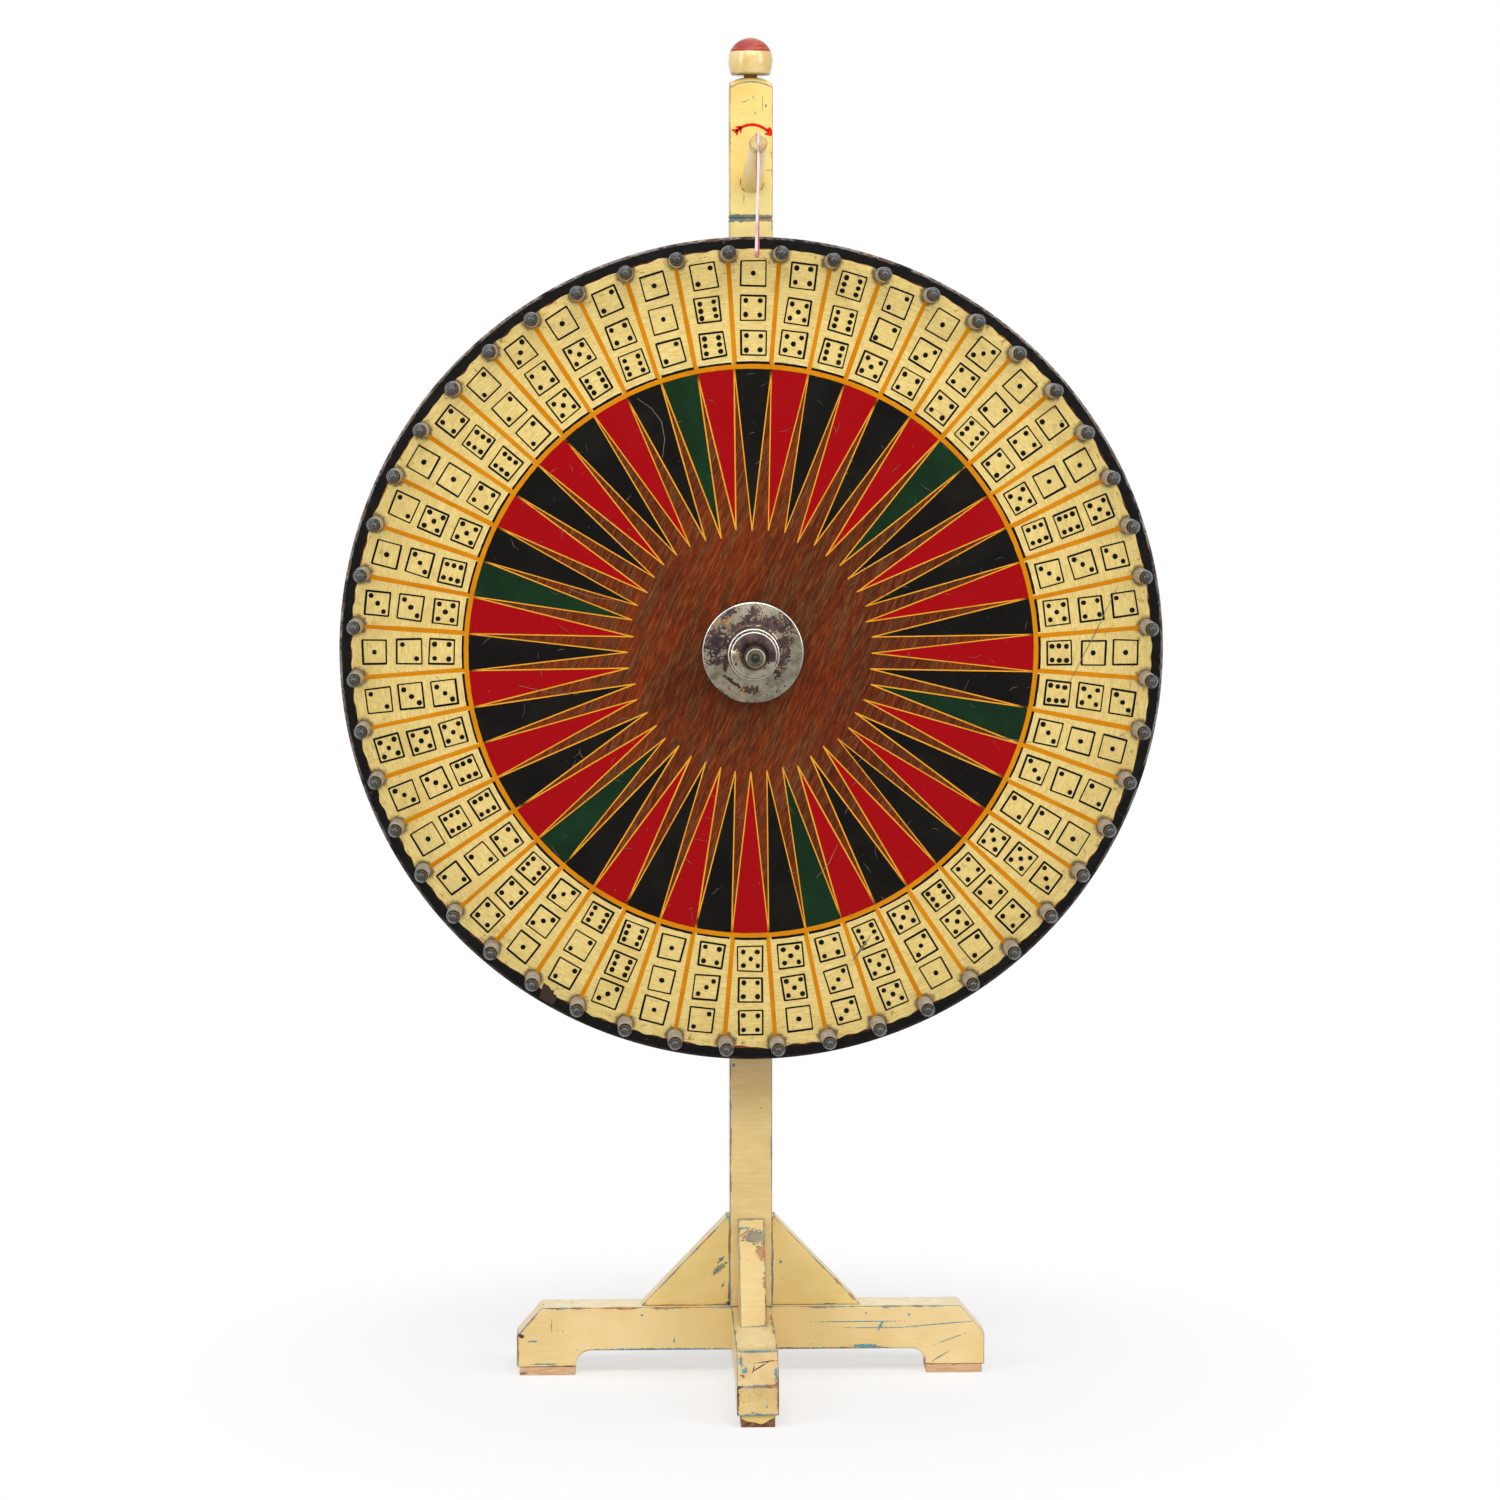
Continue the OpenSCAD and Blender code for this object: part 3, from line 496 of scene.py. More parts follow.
def nickel(name, plates, bared_at, rust_at, ragged, rings, tip_r=0.0):
    """Plate worn through to dark metal in ragged patches, with rust, painted highlight rings and a dull green
    tip.
    """
    s = Shader(name, metal=1.0)
    _, _, z = s.axes()
    radius, _ = s.wheel_polar()
    hub_y = FACE_Y / MM
    hub_z = WHEEL_Z / MM
    deep = 400
    crumbs = s.plus(s.sway(s.noise(190, 5, 0.7), ragged), s.sway(s.noise(430, 3, 0.6), 1.5 * ragged))

    def out_of(patches):
        spots = [s.reach(right, hub_y, hub_z + up, wide, deep, high, *lean)
                 for right, up, wide, high, *lean in patches]
        return s.plus(s.chain("MINIMUM", spots), crumbs)

    worn = out_of(bared_at)
    through = s.most(s.ramp(worn, 1.02, 0.95), s.ramp(s.noise(300, 4, 0.7), 0.64, 0.66))
    rusty = s.most(s.ramp(worn, 1.5, 1.05, 0.0, 0.5), s.ramp(out_of(rust_at), 1.3, 0.8))
    rusty = s.times(rusty, s.ramp(s.noise(190, 4, 0.65), 0.44, 0.58, 0.0, 0.8))
    rust = s.tones(s.noise(330, 3), 0.45, 0.6, (146, 94, 52), (186, 150, 100))
    plate = s.mix(rusty, s.tones(s.noise(110, 5, 0.65), 0.35, 0.7, *plates), rust)
    bared = s.tones(s.noise(80, 4, 0.6), 0.4, 0.65, (50, 44, 47), (72, 60, 58))
    bared = s.mix(s.times(rusty, 0.5), bared, (120, 86, 66))
    colour = s.mix(through, plate, bared)
    if tip_r:
        patina = s.tones(s.noise(200, 4), 0.4, 0.6, (92, 91, 74), (64, 62, 50))
        colour = s.tones(radius, tip_r + 0.6 * MM, tip_r + 0.1 * MM, colour, patina)
    # Painted highlights: pale rings round the hub, brighter towards the top
    for ring, low_share, high_share in rings:
        bright = s.ramp(z, WHEEL_Z - 0.8 * ring, WHEEL_Z + 0.6 * ring, low_share, high_share)
        near = s.ramp(s.apart(radius, ring), 0.7 * MM, 0.35 * MM)
        colour = s.mix(s.times(near, bright), colour, (224, 222, 214))
    height = s.minus(s.times(s.noise(400, 2), 0.1), through)
    return s.coat(colour, s.ramp(through, 0, 1, 0.26, 0.46), height, 0.1)


# A peg's outline up to its domed nose: radius and distance from the wheel's face, in mm
PEG_PROFILE = (
    (0, 0), (7, 0), (7.1, 0.5), (6.7, 22), (6.5, 39.5), (6.2, 40.6), (5.3, 41.4), (5, 42), (5.1, 42.6),
)
PEG_DOME_R = 5.2 * MM
PEG_DOME_L = 6 * MM
PEG_NOSE_Y = FACE_Y - 40 * MM
PEG_GROOVE_Y = FACE_Y - 41.8 * MM


def peg_metal():
    """Grey cast pegs: a pale tapered body, a darker greenish nose, painted shade in the groove at the nose,
    and grime with painted shade at the foot.
    """
    s = Shader("peg_metal", metal=0.2)
    _, y, _ = s.axes()
    nose = s.ramp(y, PEG_NOSE_Y, PEG_NOSE_Y - 1 * MM)
    body = s.tones(s.noise(120, 4, 0.65), 0.35, 0.65, (180, 177, 175), (138, 134, 131))
    body = s.tones(s.noise(260, 3), 0.62, 0.72, body, (74, 58, 48))
    tip = s.tones(s.noise(70, 1), 0.35, 0.65, (66, 68, 66), (52, 52, 50))
    # Painted shade: a dark line in the groove before the nose, and at the foot with some grime
    foot = s.ramp(y, FACE_Y - 2.5 * MM, FACE_Y - 0.8 * MM)
    groove_shade = s.ramp(s.apart(y, PEG_GROOVE_Y), 1.5 * MM, 0.8 * MM)
    colour = s.mix(s.most(foot, groove_shade), s.mix(nose, body, tip), (40, 32, 26))
    return s.coat(colour, s.ramp(nose, 0, 1, 0.38, 0.08), s.noise(90, 1), 0.04)


def plain_metal(name, light, dark, rough):
    s = Shader(name, metal=1.0)
    stain = s.noise(110, 4, 0.6)
    colour = s.tones(stain, 0.35, 0.7, light, dark)
    return s.coat(colour, s.ramp(stain, 0.3, 0.7, rough - 0.08, rough + 0.15), s.noise(600, 3), 0.04)


def bare_wood(name, light, dark, along=(1, 8, 8)):
    s = Shader(name, shine=0.2)
    grain = s.noise(60, 5, 0.65, stretch=along)
    cracks = s.ramp(s.noise(40, 4, 0.6, stretch=along), 0.66, 0.72)
    colour = s.mix(cracks, s.tones(grain, 0.3, 0.7, light, dark), DARK)
    return s.coat(colour, s.ramp(grain, 0.2, 0.8, 0.6, 0.8), s.minus(grain, cracks), 0.2)


def strip_leather():
    """Red-stained sides and a white front edge."""
    s = Shader("strip_leather", shine=0.2)
    _, y, _ = s.axes()
    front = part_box("flapper")[0].y
    blotch = s.noise(90, 4, 0.6, stretch=(1, 1, 0.3))
    smear = s.noise(60, 3, 0.5, stretch=(1, 1, 0.4))
    side = s.tones(blotch, 0.4, 0.62, (186, 44, 52), (226, 140, 140))
    edge = s.tones(smear, 0.5, 0.66, (226, 216, 216), (222, 160, 162))
    colour = s.tones(y, front + 0.7 * MM, front + 0.3 * MM, side, edge)
    return s.coat(colour, 0.6, s.noise(700, 3), 0.05)


def finial_paint():
    """Varnished cream ball with a rubbed red cap."""
    low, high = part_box("finial_ball")
    cap = high.z - 13 * MM
    s = Shader("finial_paint", shine=0.6)
    _, _, z = s.axes()
    cream = s.tones(s.noise(60, 3), 0.35, 0.7, (234, 208, 142), (216, 182, 108))
    # Painted shade: the cream darkens at the ball's foot, above the gap at its neck
    cream = s.tones(z, low.z + 3 * MM, low.z, cream, (92, 74, 46), 0.8)
    rubbed = s.noise(60, 4, 0.6, stretch=(0.35, 0.35, 2.5))
    line = s.plus(z, s.sway(s.noise(80, 2), 1.2 * MM))
    red = s.tones(rubbed, 0.38, 0.5, (150, 14, 10), (178, 92, 12))
    red = s.tones(line, cap + 2.6 * MM, cap + 1.2 * MM, red, (150, 10, 20))
    colour = s.tones(line, cap - 0.2 * MM, cap + 0.2 * MM, cream, red)
    return s.coat(colour, s.ramp(line, cap, cap + 1 * MM, 0.18, 0.42), s.noise(120, 2), 0.04)


# Mesh helpers
def add_object(name, data):
    made = bpy.data.objects.new(name, data)
    bpy.context.scene.collection.objects.link(made)
    return made


def make_piece(name, mesh, material, body, node=None, sharp=35):
    """Puts a finished bmesh into the scene as a piece that rides on a body, in place of a CAD node."""
    data = bpy.data.meshes.new(name)
    bmesh.ops.recalc_face_normals(mesh, faces=mesh.faces)
    mesh.to_mesh(data)
    mesh.free()
    for face in data.polygons:
        face.use_smooth = True
    data.set_sharp_from_angle(angle=radians(sharp))
    data.materials.append(material)
    piece = add_object(name, data)
    if body:
        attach(piece, body)
    if node:
        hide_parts(node)
    return piece


def polar(radius, angle):
    """Right and up of the axle, for an angle clockwise from the top."""
    a = radians(angle)
    return Vector((radius * sin(a), radius * cos(a)))


def on_disc(point, height):
    return Vector((point.x, FACE_Y - height, WHEEL_Z + point.y))


def on_wheel(point, height):
    """On the disc's face, about the painter's own middle, which is a little off the axle."""
    return on_disc(point + PAINT_SHIFT, height)


def on_post(point, height):
    return Vector((point.x, POST_FRONT - height, point.y))


def in_mm(places):
    return [Vector(p) * MM for p in places]


class Film:
    """A coat of paint on a flat face: closed flat prisms, collected into one piece."""

    def __init__(self, name, base, place=on_wheel):
        self.name = name
        self.levels = (base * FILM, (base + 1) * FILM)
        self.place = place
        self.mesh = bmesh.new()

    def row(self, points, level):
        return [self.mesh.verts.new(self.place(p, self.levels[level])) for p in points]

    def polygon(self, points):
        low, top = self.row(points, 0), self.row(points, 1)
        self.mesh.faces.new(top)
        self.mesh.faces.new(low[::-1])
        for i in range(len(points)):
            j = (i + 1) % len(points)
            self.mesh.faces.new((low[i], low[j], top[j], top[i]))

    def band(self, inner, outer, closed=False):
        rows = [self.row(inner, 0), self.row(inner, 1), self.row(outer, 1), self.row(outer, 0)]
        count = len(inner)
        for i in range(count if closed else count - 1):
            j = (i + 1) % count
            for k in range(4):
                a, b = rows[k], rows[(k + 1) % 4]
                self.mesh.faces.new((a[i], a[j], b[j], b[i]))
        if not closed:
            self.mesh.faces.new([r[0] for r in rows])
            self.mesh.faces.new([r[-1] for r in rows][::-1])

    def stroke(self, points, widths):
        """A line of the brush through points, with its width at each."""
        left, right = [], []
        for i, p in enumerate(points):
            way = (points[min(i + 1, len(points) - 1)] - points[max(i - 1, 0)]).normalized()
            side = Vector((-way.y, way.x)) * widths[i] / 2
            left.append(p + side)
            right.append(p - side)
        self.band(left, right)

    def finish(self, paint, body="wheel", slot="wheel_paint"):
        make_piece(self.name, self.mesh, paints[paint], body)


def shaky(amount):
    return draw(-amount, amount)


def spin(bm, profile, steps, place):
    """Adds a closed or axis-to-axis profile of (radius, distance along), turned about an axis."""
    thin = 1e-6
    rings = []
    for radius, along in profile:
        if radius < thin:
            rings.append([bm.verts.new(place(0.0, 0.0, along))])
        else:
            rings.append([bm.verts.new(place(radius, 2 * pi * i / steps, along)) for i in range(steps)])
    pairs = list(zip(rings, rings[1:]))
    if profile[0][0] > thin and profile[-1][0] > thin:
        pairs.append((rings[-1], rings[0]))
    for a, b in pairs:
        for i in range(steps):
            j = (i + 1) % steps
            corners = [a[i % len(a)], a[j % len(a)], b[j % len(b)], b[i % len(b)]]
            kept = [v for k, v in enumerate(corners) if v not in corners[:k]]
            if len(kept) > 2:
                bm.faces.new(kept)


def lathe(name, profile, steps, place, material, body, node):
    """A turned piece."""
    bm = bmesh.new()
    spin(bm, profile, steps, place)
    make_piece(name, bm, material, body, node)


def forward(radius, angle, along):
    """A place round the axle; along runs out of the wheel's face."""
    return Vector((radius * sin(angle), FACE_Y - along, WHEEL_Z + radius * cos(angle)))


def upward(radius, angle, along):
    """A place round the post's middle line, at a height."""
    return Vector((radius * cos(angle), radius * sin(angle), along))


def arc(centre, radius, start, stop, steps):
    """Points of an arc in a profile, from one angle to another in degrees."""
    angles = [radians(start + (stop - start) * i / steps) for i in range(steps + 1)]
    return [(centre[0] + radius * cos(a), centre[1] + radius * sin(a)) for a in angles]


def stations(length, radius, step, cuts):
    """Places along one side of a block: close in the rounding, then even, with the cuts asked for."""
    near = [0.0, 0.3 * radius, 0.65 * radius, radius]
    count = max(1, round((length - 2 * radius) / step))
    middle = [radius + (length - 2 * radius) * i / count for i in range(1, count)]
    places = sorted(near + middle + [length - p for p in near] + list(cuts))
    closest = 0.005 * MM
    kept = [places[0]]
    for p in places[1:]:
        if p - kept[-1] > closest:
            kept.append(p)
    return kept


def block(name, low, high, radius, step, material, node, shape=None, cuts=((), (), ()), slot="cream_paint",
          body="stand"):
    """A dense block with rounded edges. Its edge attribute is the distance to its nearest edge, in mm."""
    size = high - low
    lines = [stations(size[a], radius, step[a], [c - low[a] for c in cuts[a]]) for a in range(3)]
    bm = bmesh.new()
    edge_layer = bm.verts.layers.float.new("edge")
    move = shape or (lambda p: p)
    nudge = 0.05 * MM
    made = {}

    def corner(index):
        if index not in made:
            p = Vector(lines[a][index[a]] for a in range(3))
            inner = Vector(min(max(p[a], radius), size[a] - radius) for a in range(3))
            out = p - inner
            rounded = low + (inner + out * (radius / out.length) if out.length > 0 else p)
            there = move(rounded)
            spans = []
            for a in range(3):
                probe = rounded.copy()
                probe[a] += nudge if p[a] < size[a] / 2 else -nudge
                scale = (move(probe) - there).length / nudge
                spans.append(min(p[a], size[a] - p[a]) * scale)
            vert = bm.verts.new(there)
            vert[edge_layer] = sorted(spans)[1] / MM
            made[index] = vert
        return made[index]

    for a in range(3):
        b, c = (a + 1) % 3, (a + 2) % 3
        for end in (0, len(lines[a]) - 1):
            for i in range(len(lines[b]) - 1):
                for j in range(len(lines[c]) - 1):
                    quad = []
                    for di, dj in ((0, 0), (1, 0), (1, 1), (0, 1)):
                        index = [0, 0, 0]
                        index[a], index[b], index[c] = end, i + di, j + dj
                        quad.append(corner(tuple(index)))
                    bm.faces.new(quad)
    return make_piece(name, bm, material, body, node, sharp=60)


# Materials
post_cream = cream_paint("cream_post", joint_z=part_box("post")[1].z, chip_w=0.9)
upper_cream = cream_paint("cream_upper_post", UPPER_CREAM, (230, 194, 104), chip_w=0.6,
                          marks=UPPER_POST_MARKS, joint_z=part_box("upper_post")[0].z, edges="grey")
# Painted light: the arm's cream is set lighter than the post's, for its shaded underside and flanks
arm_cream_painted_light = cream_paint("cream_arm", (252, 226, 154), (238, 205, 126), marks=ARM_MARKS, edges=None,
                        grain=(60, 3, 60))
# dull is the share of painted shade towards the post
side_leg_cream = cream_paint("cream_side_leg", LEG_CREAM, LEG_CREAM_DEEP, 1.4, SIDE_LEG_MARKS, dull=0.4)
front_leg_cream = cream_paint("cream_front_leg", chip_w=1.6, marks=FRONT_LEG_MARKS)
# dull is the share of painted shade towards the post
gusset_creams = {
    "left": cream_paint("cream_gusset_left", OLIVE, OLIVE_DEEP, 1.0, LEFT_GUSSET_MARKS, dull=0.4),
    "right": cream_paint("cream_gusset_right", OLIVE, OLIVE_DEEP, 1.0, RIGHT_GUSSET_MARKS, dull=0.4),
    "front": cream_paint("cream_gusset_front", CREAM, CREAM_DEEP, 1.3, FRONT_GUSSET_MARKS),
    "back": cream_paint("cream_gusset_back", OLIVE, OLIVE_DEEP, 1.0),
}
ENAMELS = {
    "orange_line": ((208, 132, 14), (196, 118, 8), (140, 100, 50)),
    "orange_fine_line": ((228, 160, 46), (216, 142, 30), (140, 100, 50)),
    "black_line": (BLACK, (26, 23, 18), (110, 92, 56)),
    "pale_line": ((244, 236, 204), (234, 220, 170), (200, 180, 120)),
    "scuff": ((132, 122, 102), (104, 94, 76), (190, 182, 160)),
    "hairline": ((122, 110, 96), (96, 86, 76), (150, 140, 124)),
    "chip_brown": ((70, 54, 47), (50, 38, 33), (104, 82, 70)),
    "spike_red": ((154, 8, 15), (152, 9, 15), (170, 110, 84)),
    "spike_black": (BLACK, (24, 22, 18), (92, 84, 68)),
    "spike_green": ((18, 40, 22), (20, 50, 28), (92, 98, 76)),
    "arrow_red": ((216, 40, 20), (200, 26, 16), (220, 90, 60)),
    "torn_paint": ((228, 200, 128), (224, 194, 104), (170, 130, 70)),
}
paints = {name: enamel(name, *tones) for name, tones in ENAMELS.items()}
paints["gold_leaf"] = gold_leaf()
wood = disc_wood()
cover_plate = nickel("nickel_cover", ((146, 140, 124), (104, 96, 79)), COVER_BARED, COVER_RUST, 2.6,
                     COVER_HIGHLIGHT_RINGS)
nose_plate = nickel("nickel_nose", ((160, 154, 138), (130, 121, 101)), NOSE_BARED, NOSE_RUST, 0.7,
                    NOSE_HIGHLIGHT_RINGS, NOSE_TIP_R)
peg_grey = peg_metal()
steel = plain_metal("aged_steel", (128, 124, 112), (84, 76, 68), 0.4)
axle_end = plain_metal("axle_steel", (112, 105, 82), (74, 67, 52), 0.4)
# Painted reflection: the oiler is a steel ball, given black enamel for the dark surroundings it mirrors
oiler_painted_dark_reflection = enamel("oiler_painted_dark_reflection", (26, 21, 17), (12, 10, 9), (70, 52, 40), rough=0.15, shine=0.35)
bronze = plain_metal("bronze", (172, 134, 72), (112, 84, 48), 0.35)
pad_wood = bare_wood("pad_wood", (222, 186, 146), (196, 152, 112))
front_pad_wood = bare_wood("front_pad_wood", (150, 104, 76), (92, 52, 36), along=(3, 8, 5))
dowel_wood = bare_wood("dowel_wood", (190, 150, 98), (140, 104, 66), along=(8, 8, 1))
strip_paint = strip_leather()
ball_paint = finial_paint()

# CAD nodes that keep their own shape
NODE_MATERIALS = {
    steel: ("gusset_nails", "pad_nails", "lag_screw", "lag_washer", "flapper_brad", "axle_nut", "lock_nut",
            "axle_washer_rear", "axle_washer_front", "hub_barrel", "clamp_plate", "hub_bolts", "hub_nuts"),
    axle_end: ("axle",),
    oiler_painted_dark_reflection: ("oiler",),
    bronze: ("thrust_washer_rear", "thrust_washer_front", "bush_rear", "bush_front"),
    dowel_wood: ("splice_dowels", "finial_dowel"),
    arm_cream_painted_light: ("pointer_arm",),
}
for material, nodes in NODE_MATERIALS.items():
    for node in nodes:
        data = frame["nodes"][node].data
        data.materials.clear()
        data.materials.append(material)


# Wheel disc, hub and pegs
def build_disc():
    edge = 2 * MM
    sides = 240
    thick = BACK_Y - FACE_Y
    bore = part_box("bush_rear")[1].x + 6 * MM
    profile = [(bore, 0.0)]
    profile += arc((WHEEL_R - edge, -edge), edge, 90, 0, 6)
    profile += arc((WHEEL_R - edge, edge - thick), edge, 0, -90, 6)
    profile += [(bore, -thick)]
    lathe("turned_disc", profile, sides, forward, wood, "wheel", "wheel_disc")


def build_cover():
    low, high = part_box("hub_cover")
    rim_r = high.x
    length = high.y - low.y
    boss_r = 24 * MM
    barrel_r = 17 * MM
    wall = 2.5 * MM
    rim_l = 14 * MM
    root = 18 * MM
    soft = 1.6 * MM
    hollow = 3 * MM
    sides = 128
    profile = [(rim_r - wall, 0.0), (rim_r, 0.0)]
    profile += arc((rim_r - soft, rim_l - soft), soft, 0, 75, 5)
    profile += arc((boss_r + hollow, root + hollow), hollow, -98, -180, 6)
    profile += arc((boss_r - soft, length - soft), soft, 0, 90, 5)
    profile += [(barrel_r, length), (barrel_r, root - wall), (rim_r - wall, rim_l - wall)]
    lathe("spun_cover", profile, sides, forward, cover_plate, "wheel", "hub_cover")


def build_nose():
    low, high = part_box("hub_nose")
    foot = FACE_Y - high.y
    tip = FACE_Y - low.y
    foot_r = high.x
    foot_l = 3 * MM
    tip_l = 6 * MM
    waist = 7
    soft = 1 * MM
    foot_edge = 0.6 * MM
    bore_edge = 0.4 * MM
    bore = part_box("axle")[1].x
    steps = 32
    sides = 96
    profile = [(bore, foot), (foot_r - foot_edge, foot), (foot_r, foot + foot_edge)]
    for i in range(steps + 1):
        t = i / steps
        radius = NOSE_TIP_R + (foot_r - NOSE_TIP_R) * (1 - t) ** waist
        profile.append((radius, foot + foot_l + (tip - foot - foot_l - tip_l) * t))
    profile += arc((NOSE_TIP_R - soft, tip - soft), soft, 0, 90, 4)
    profile += [(bore + bore_edge, tip), (bore, tip - bore_edge)]
    lathe("turned_nose", profile, sides, forward, nose_plate, "stand", "hub_nose")


def build_pegs():
    bm = bmesh.new()
    sides = 24
    dome_steps = 8
    length = FACE_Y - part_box("pegs")[0].y
    profile = [(radius * MM, along * MM) for radius, along in PEG_PROFILE]
    for i in range(dome_steps + 1):
        a = radians(90 * i / dome_steps)
        profile.append((PEG_DOME_R * cos(a), length - PEG_DOME_L + PEG_DOME_L * sin(a)))
    for k in range(SEGMENTS):
        centre = polar(PEG_CIRCLE, FIRST_PEG + k * PITCH)

        def place(radius, angle, along, centre=centre):
            return forward(radius, angle, along) + Vector((centre.x, 0, centre.y))

        spin(bm, profile, sides, place)
    make_piece("cast_pegs", bm, peg_grey, "wheel", "pegs")


# The painting on the wheel
def segment_angle(index):
    return FIRST_SEGMENT + index * PITCH


def ring_points(radius, start, stop, steps):
    return [polar(radius, start + (stop - start) * i / steps) for i in range(steps + 1)]


def circle(steps, radius_at):
    """A closed ring of points, with the radius asked for at each angle in turn."""
    turns = [360 * i / steps for i in range(steps)]
    return [polar(radius_at(turn), turn) for turn in turns]


def build_bands():
    steps = 720
    waves = [(draw(0.3, 1.0), hand.randrange(9, 160), draw(0, 6.3)) for _ in range(9)]
    wave_h = 0.45 * MM
    overlap = 1 * MM

    def wavy(turn):
        wobble = sum(size * sin(count * radians(turn) + phase) for size, count, phase in waves)
        return RIM_BAND_R + wave_h * wobble

    leaf = Film("gold_band", 0, on_disc)
    leaf.band(circle(steps, lambda turn: RING_OUT_R - overlap), circle(steps, wavy), closed=True)
    leaf.finish("gold_leaf")

    ring = Film("orange_ring", 2)
    steps = 360
    unsteady = 0.15 * MM
    ring.band(circle(steps, lambda turn: RING_IN_R + shaky(unsteady)),
              circle(steps, lambda turn: RING_OUT_R + shaky(unsteady)), closed=True)
    ring.finish("orange_line")

    dividers = Film("dividers", 1)
    arcs = Film("black_arcs", 1)
    glints = Film("pale_arcs", 1)
    for k in range(SEGMENTS):
        angle = FIRST_PEG + k * PITCH
        near = polar(RING_OUT_R - overlap, angle + shaky(0.35))
        far = polar(PEG_CIRCLE - 3 * MM, angle + shaky(0.12))
        steps = 5
        dividers.stroke([near.lerp(far, i / steps) for i in range(steps + 1)],
                        [DIVIDER_W * (1 + shaky(0.1)) for _ in range(steps + 1)])
        start = angle + draw(0.4, 0.5)
        stop = angle + PITCH - draw(0.4, 0.5)
        arc_w = draw(2.0, 2.9) * MM
        steps = 8
        tapered = [arc_w * draw(0.85, 1.1) for _ in range(steps + 1)]
        arcs.stroke(ring_points(RING_OUT_R + arc_w / 2 - 0.2 * MM, start, stop, steps), tapered)
        glint_start = draw(start + 0.2, start + 4)
        glints.stroke(ring_points(RING_OUT_R + arc_w + 0.2 * MM, glint_start, stop - 0.1, steps),
                      [draw(0.1, 0.5) * MM for _ in range(steps + 1)])
    dividers.finish("orange_line")
    arcs.finish("black_line")
    glints.finish("pale_line")


def die_frame(radius, angle):
    """A die's middle, and its directions round the wheel and outward, a little off true."""
    tilt = radians(angle + shaky(2.0))
    middle = polar(radius + shaky(0.8 * MM), angle + shaky(0.12))
    return middle, Vector((cos(tilt), -sin(tilt))), Vector((sin(tilt), cos(tilt)))


def build_dice():
    outlines = Film("dice_outlines", 1)
    pips = Film("dice_pips", 1)
    round_steps = 3
    pip_steps = 12
    inner_round = 0.35
    off_true = 0.5 * MM
    pip_off = 0.35 * MM
    for index, faces in enumerate(DICE):
        for (row_r, rise), face in zip(DICE_ROWS, faces):
            angle = segment_angle(index) + shaky(0.1)
            middle, across, out = die_frame(row_r + rise * cos(radians(angle)), angle)
            straight = DICE_SIDE / 2 * (1 + shaky(0.02)) - DICE_CORNER_R
            lean = [Vector((shaky(off_true), shaky(off_true))) for _ in range(4)]
            thick = [LINE_W * draw(0.7, 1.3) for _ in range(4)]
            inner, outer = [], []
            for c, way in enumerate(((1, 1), (-1, 1), (-1, -1), (1, -1))):
                corner = Vector(way) * straight + lean[c]
                sides = (thick[c - 1], thick[c]) if c % 2 == 0 else (thick[c], thick[c - 1])
                inset = Vector((way[0] * sides[0], way[1] * sides[1]))
                inset -= Vector(way) * DICE_CORNER_R * (1 - inner_round)
                for i in range(round_steps + 1):
                    a = radians(90 * (c + i / round_steps))
                    ray = Vector((cos(a), sin(a))) * DICE_CORNER_R
                    p = corner + ray
                    q = corner + ray * inner_round - inset
                    outer.append(middle + across * p.x + out * p.y)
                    inner.append(middle + across * q.x + out * q.y)
            outlines.band(inner, outer, closed=True)
            for px, py in PIPS[int(face)]:
                right = px * PIP_OUT + shaky(pip_off)
                spot = middle + across * right + out * (py * PIP_OUT + shaky(pip_off))
                wide = PIP_R * draw(0.92, 1.08)
                squeeze = draw(0.94, 1.06)
                turns = [2 * pi * i / pip_steps for i in range(pip_steps)]
                pips.polygon([spot + across * wide * squeeze * cos(t) + out * wide / squeeze * sin(t)
                              for t in turns])
    outlines.finish("black_line")
    pips.finish("black_line")


def spike_colour(index):
    if index % GREEN_EVERY == FIRST_GREEN:
        return "green"
    greens_before = (index + GREEN_EVERY - FIRST_GREEN - 1) // GREEN_EVERY
    return "black" if (index - greens_before) % 2 == 0 else "red"


def build_spikes():
    outline = Film("spike_outlines", 1)
    coats = {name: Film("spikes_" + name, 0) for name in ("red", "black", "green")}
    base_r = RING_IN_R + 1 * MM
    half = PITCH / 2
    steps = 6
    for index in range(SEGMENTS):
        angle = segment_angle(index) + shaky(0.1)
        tip = polar(SPIKE_TIP_R + shaky(3 * MM), segment_angle(index) + shaky(0.25))
        base = ring_points(base_r, angle - half, angle + half, steps)
        coats[spike_colour(index)].polygon([tip] + base[::-1])
        line = SPIKE_LINE_W * draw(0.85, 1.15)
        inward = polar(1, angle)
        aside = Vector((inward.y, -inward.x)) * line / 2
        spread = atan2((base[-1] - base[0]).length / 2, (base[0] - tip).length)
        fork = tip + inward * line / 2 / sin(spread)
        outline.band([base[0] + aside, fork], [base[0] - aside, tip - aside])
        outline.band([fork, base[-1] - aside], [tip + aside, base[-1] + aside])
        outline.polygon([tip - aside, fork, tip + aside, tip - inward * line / 2])
    outline.finish("orange_fine_line")
    for name, coat in coats.items():
        coat.finish("spike_" + name)


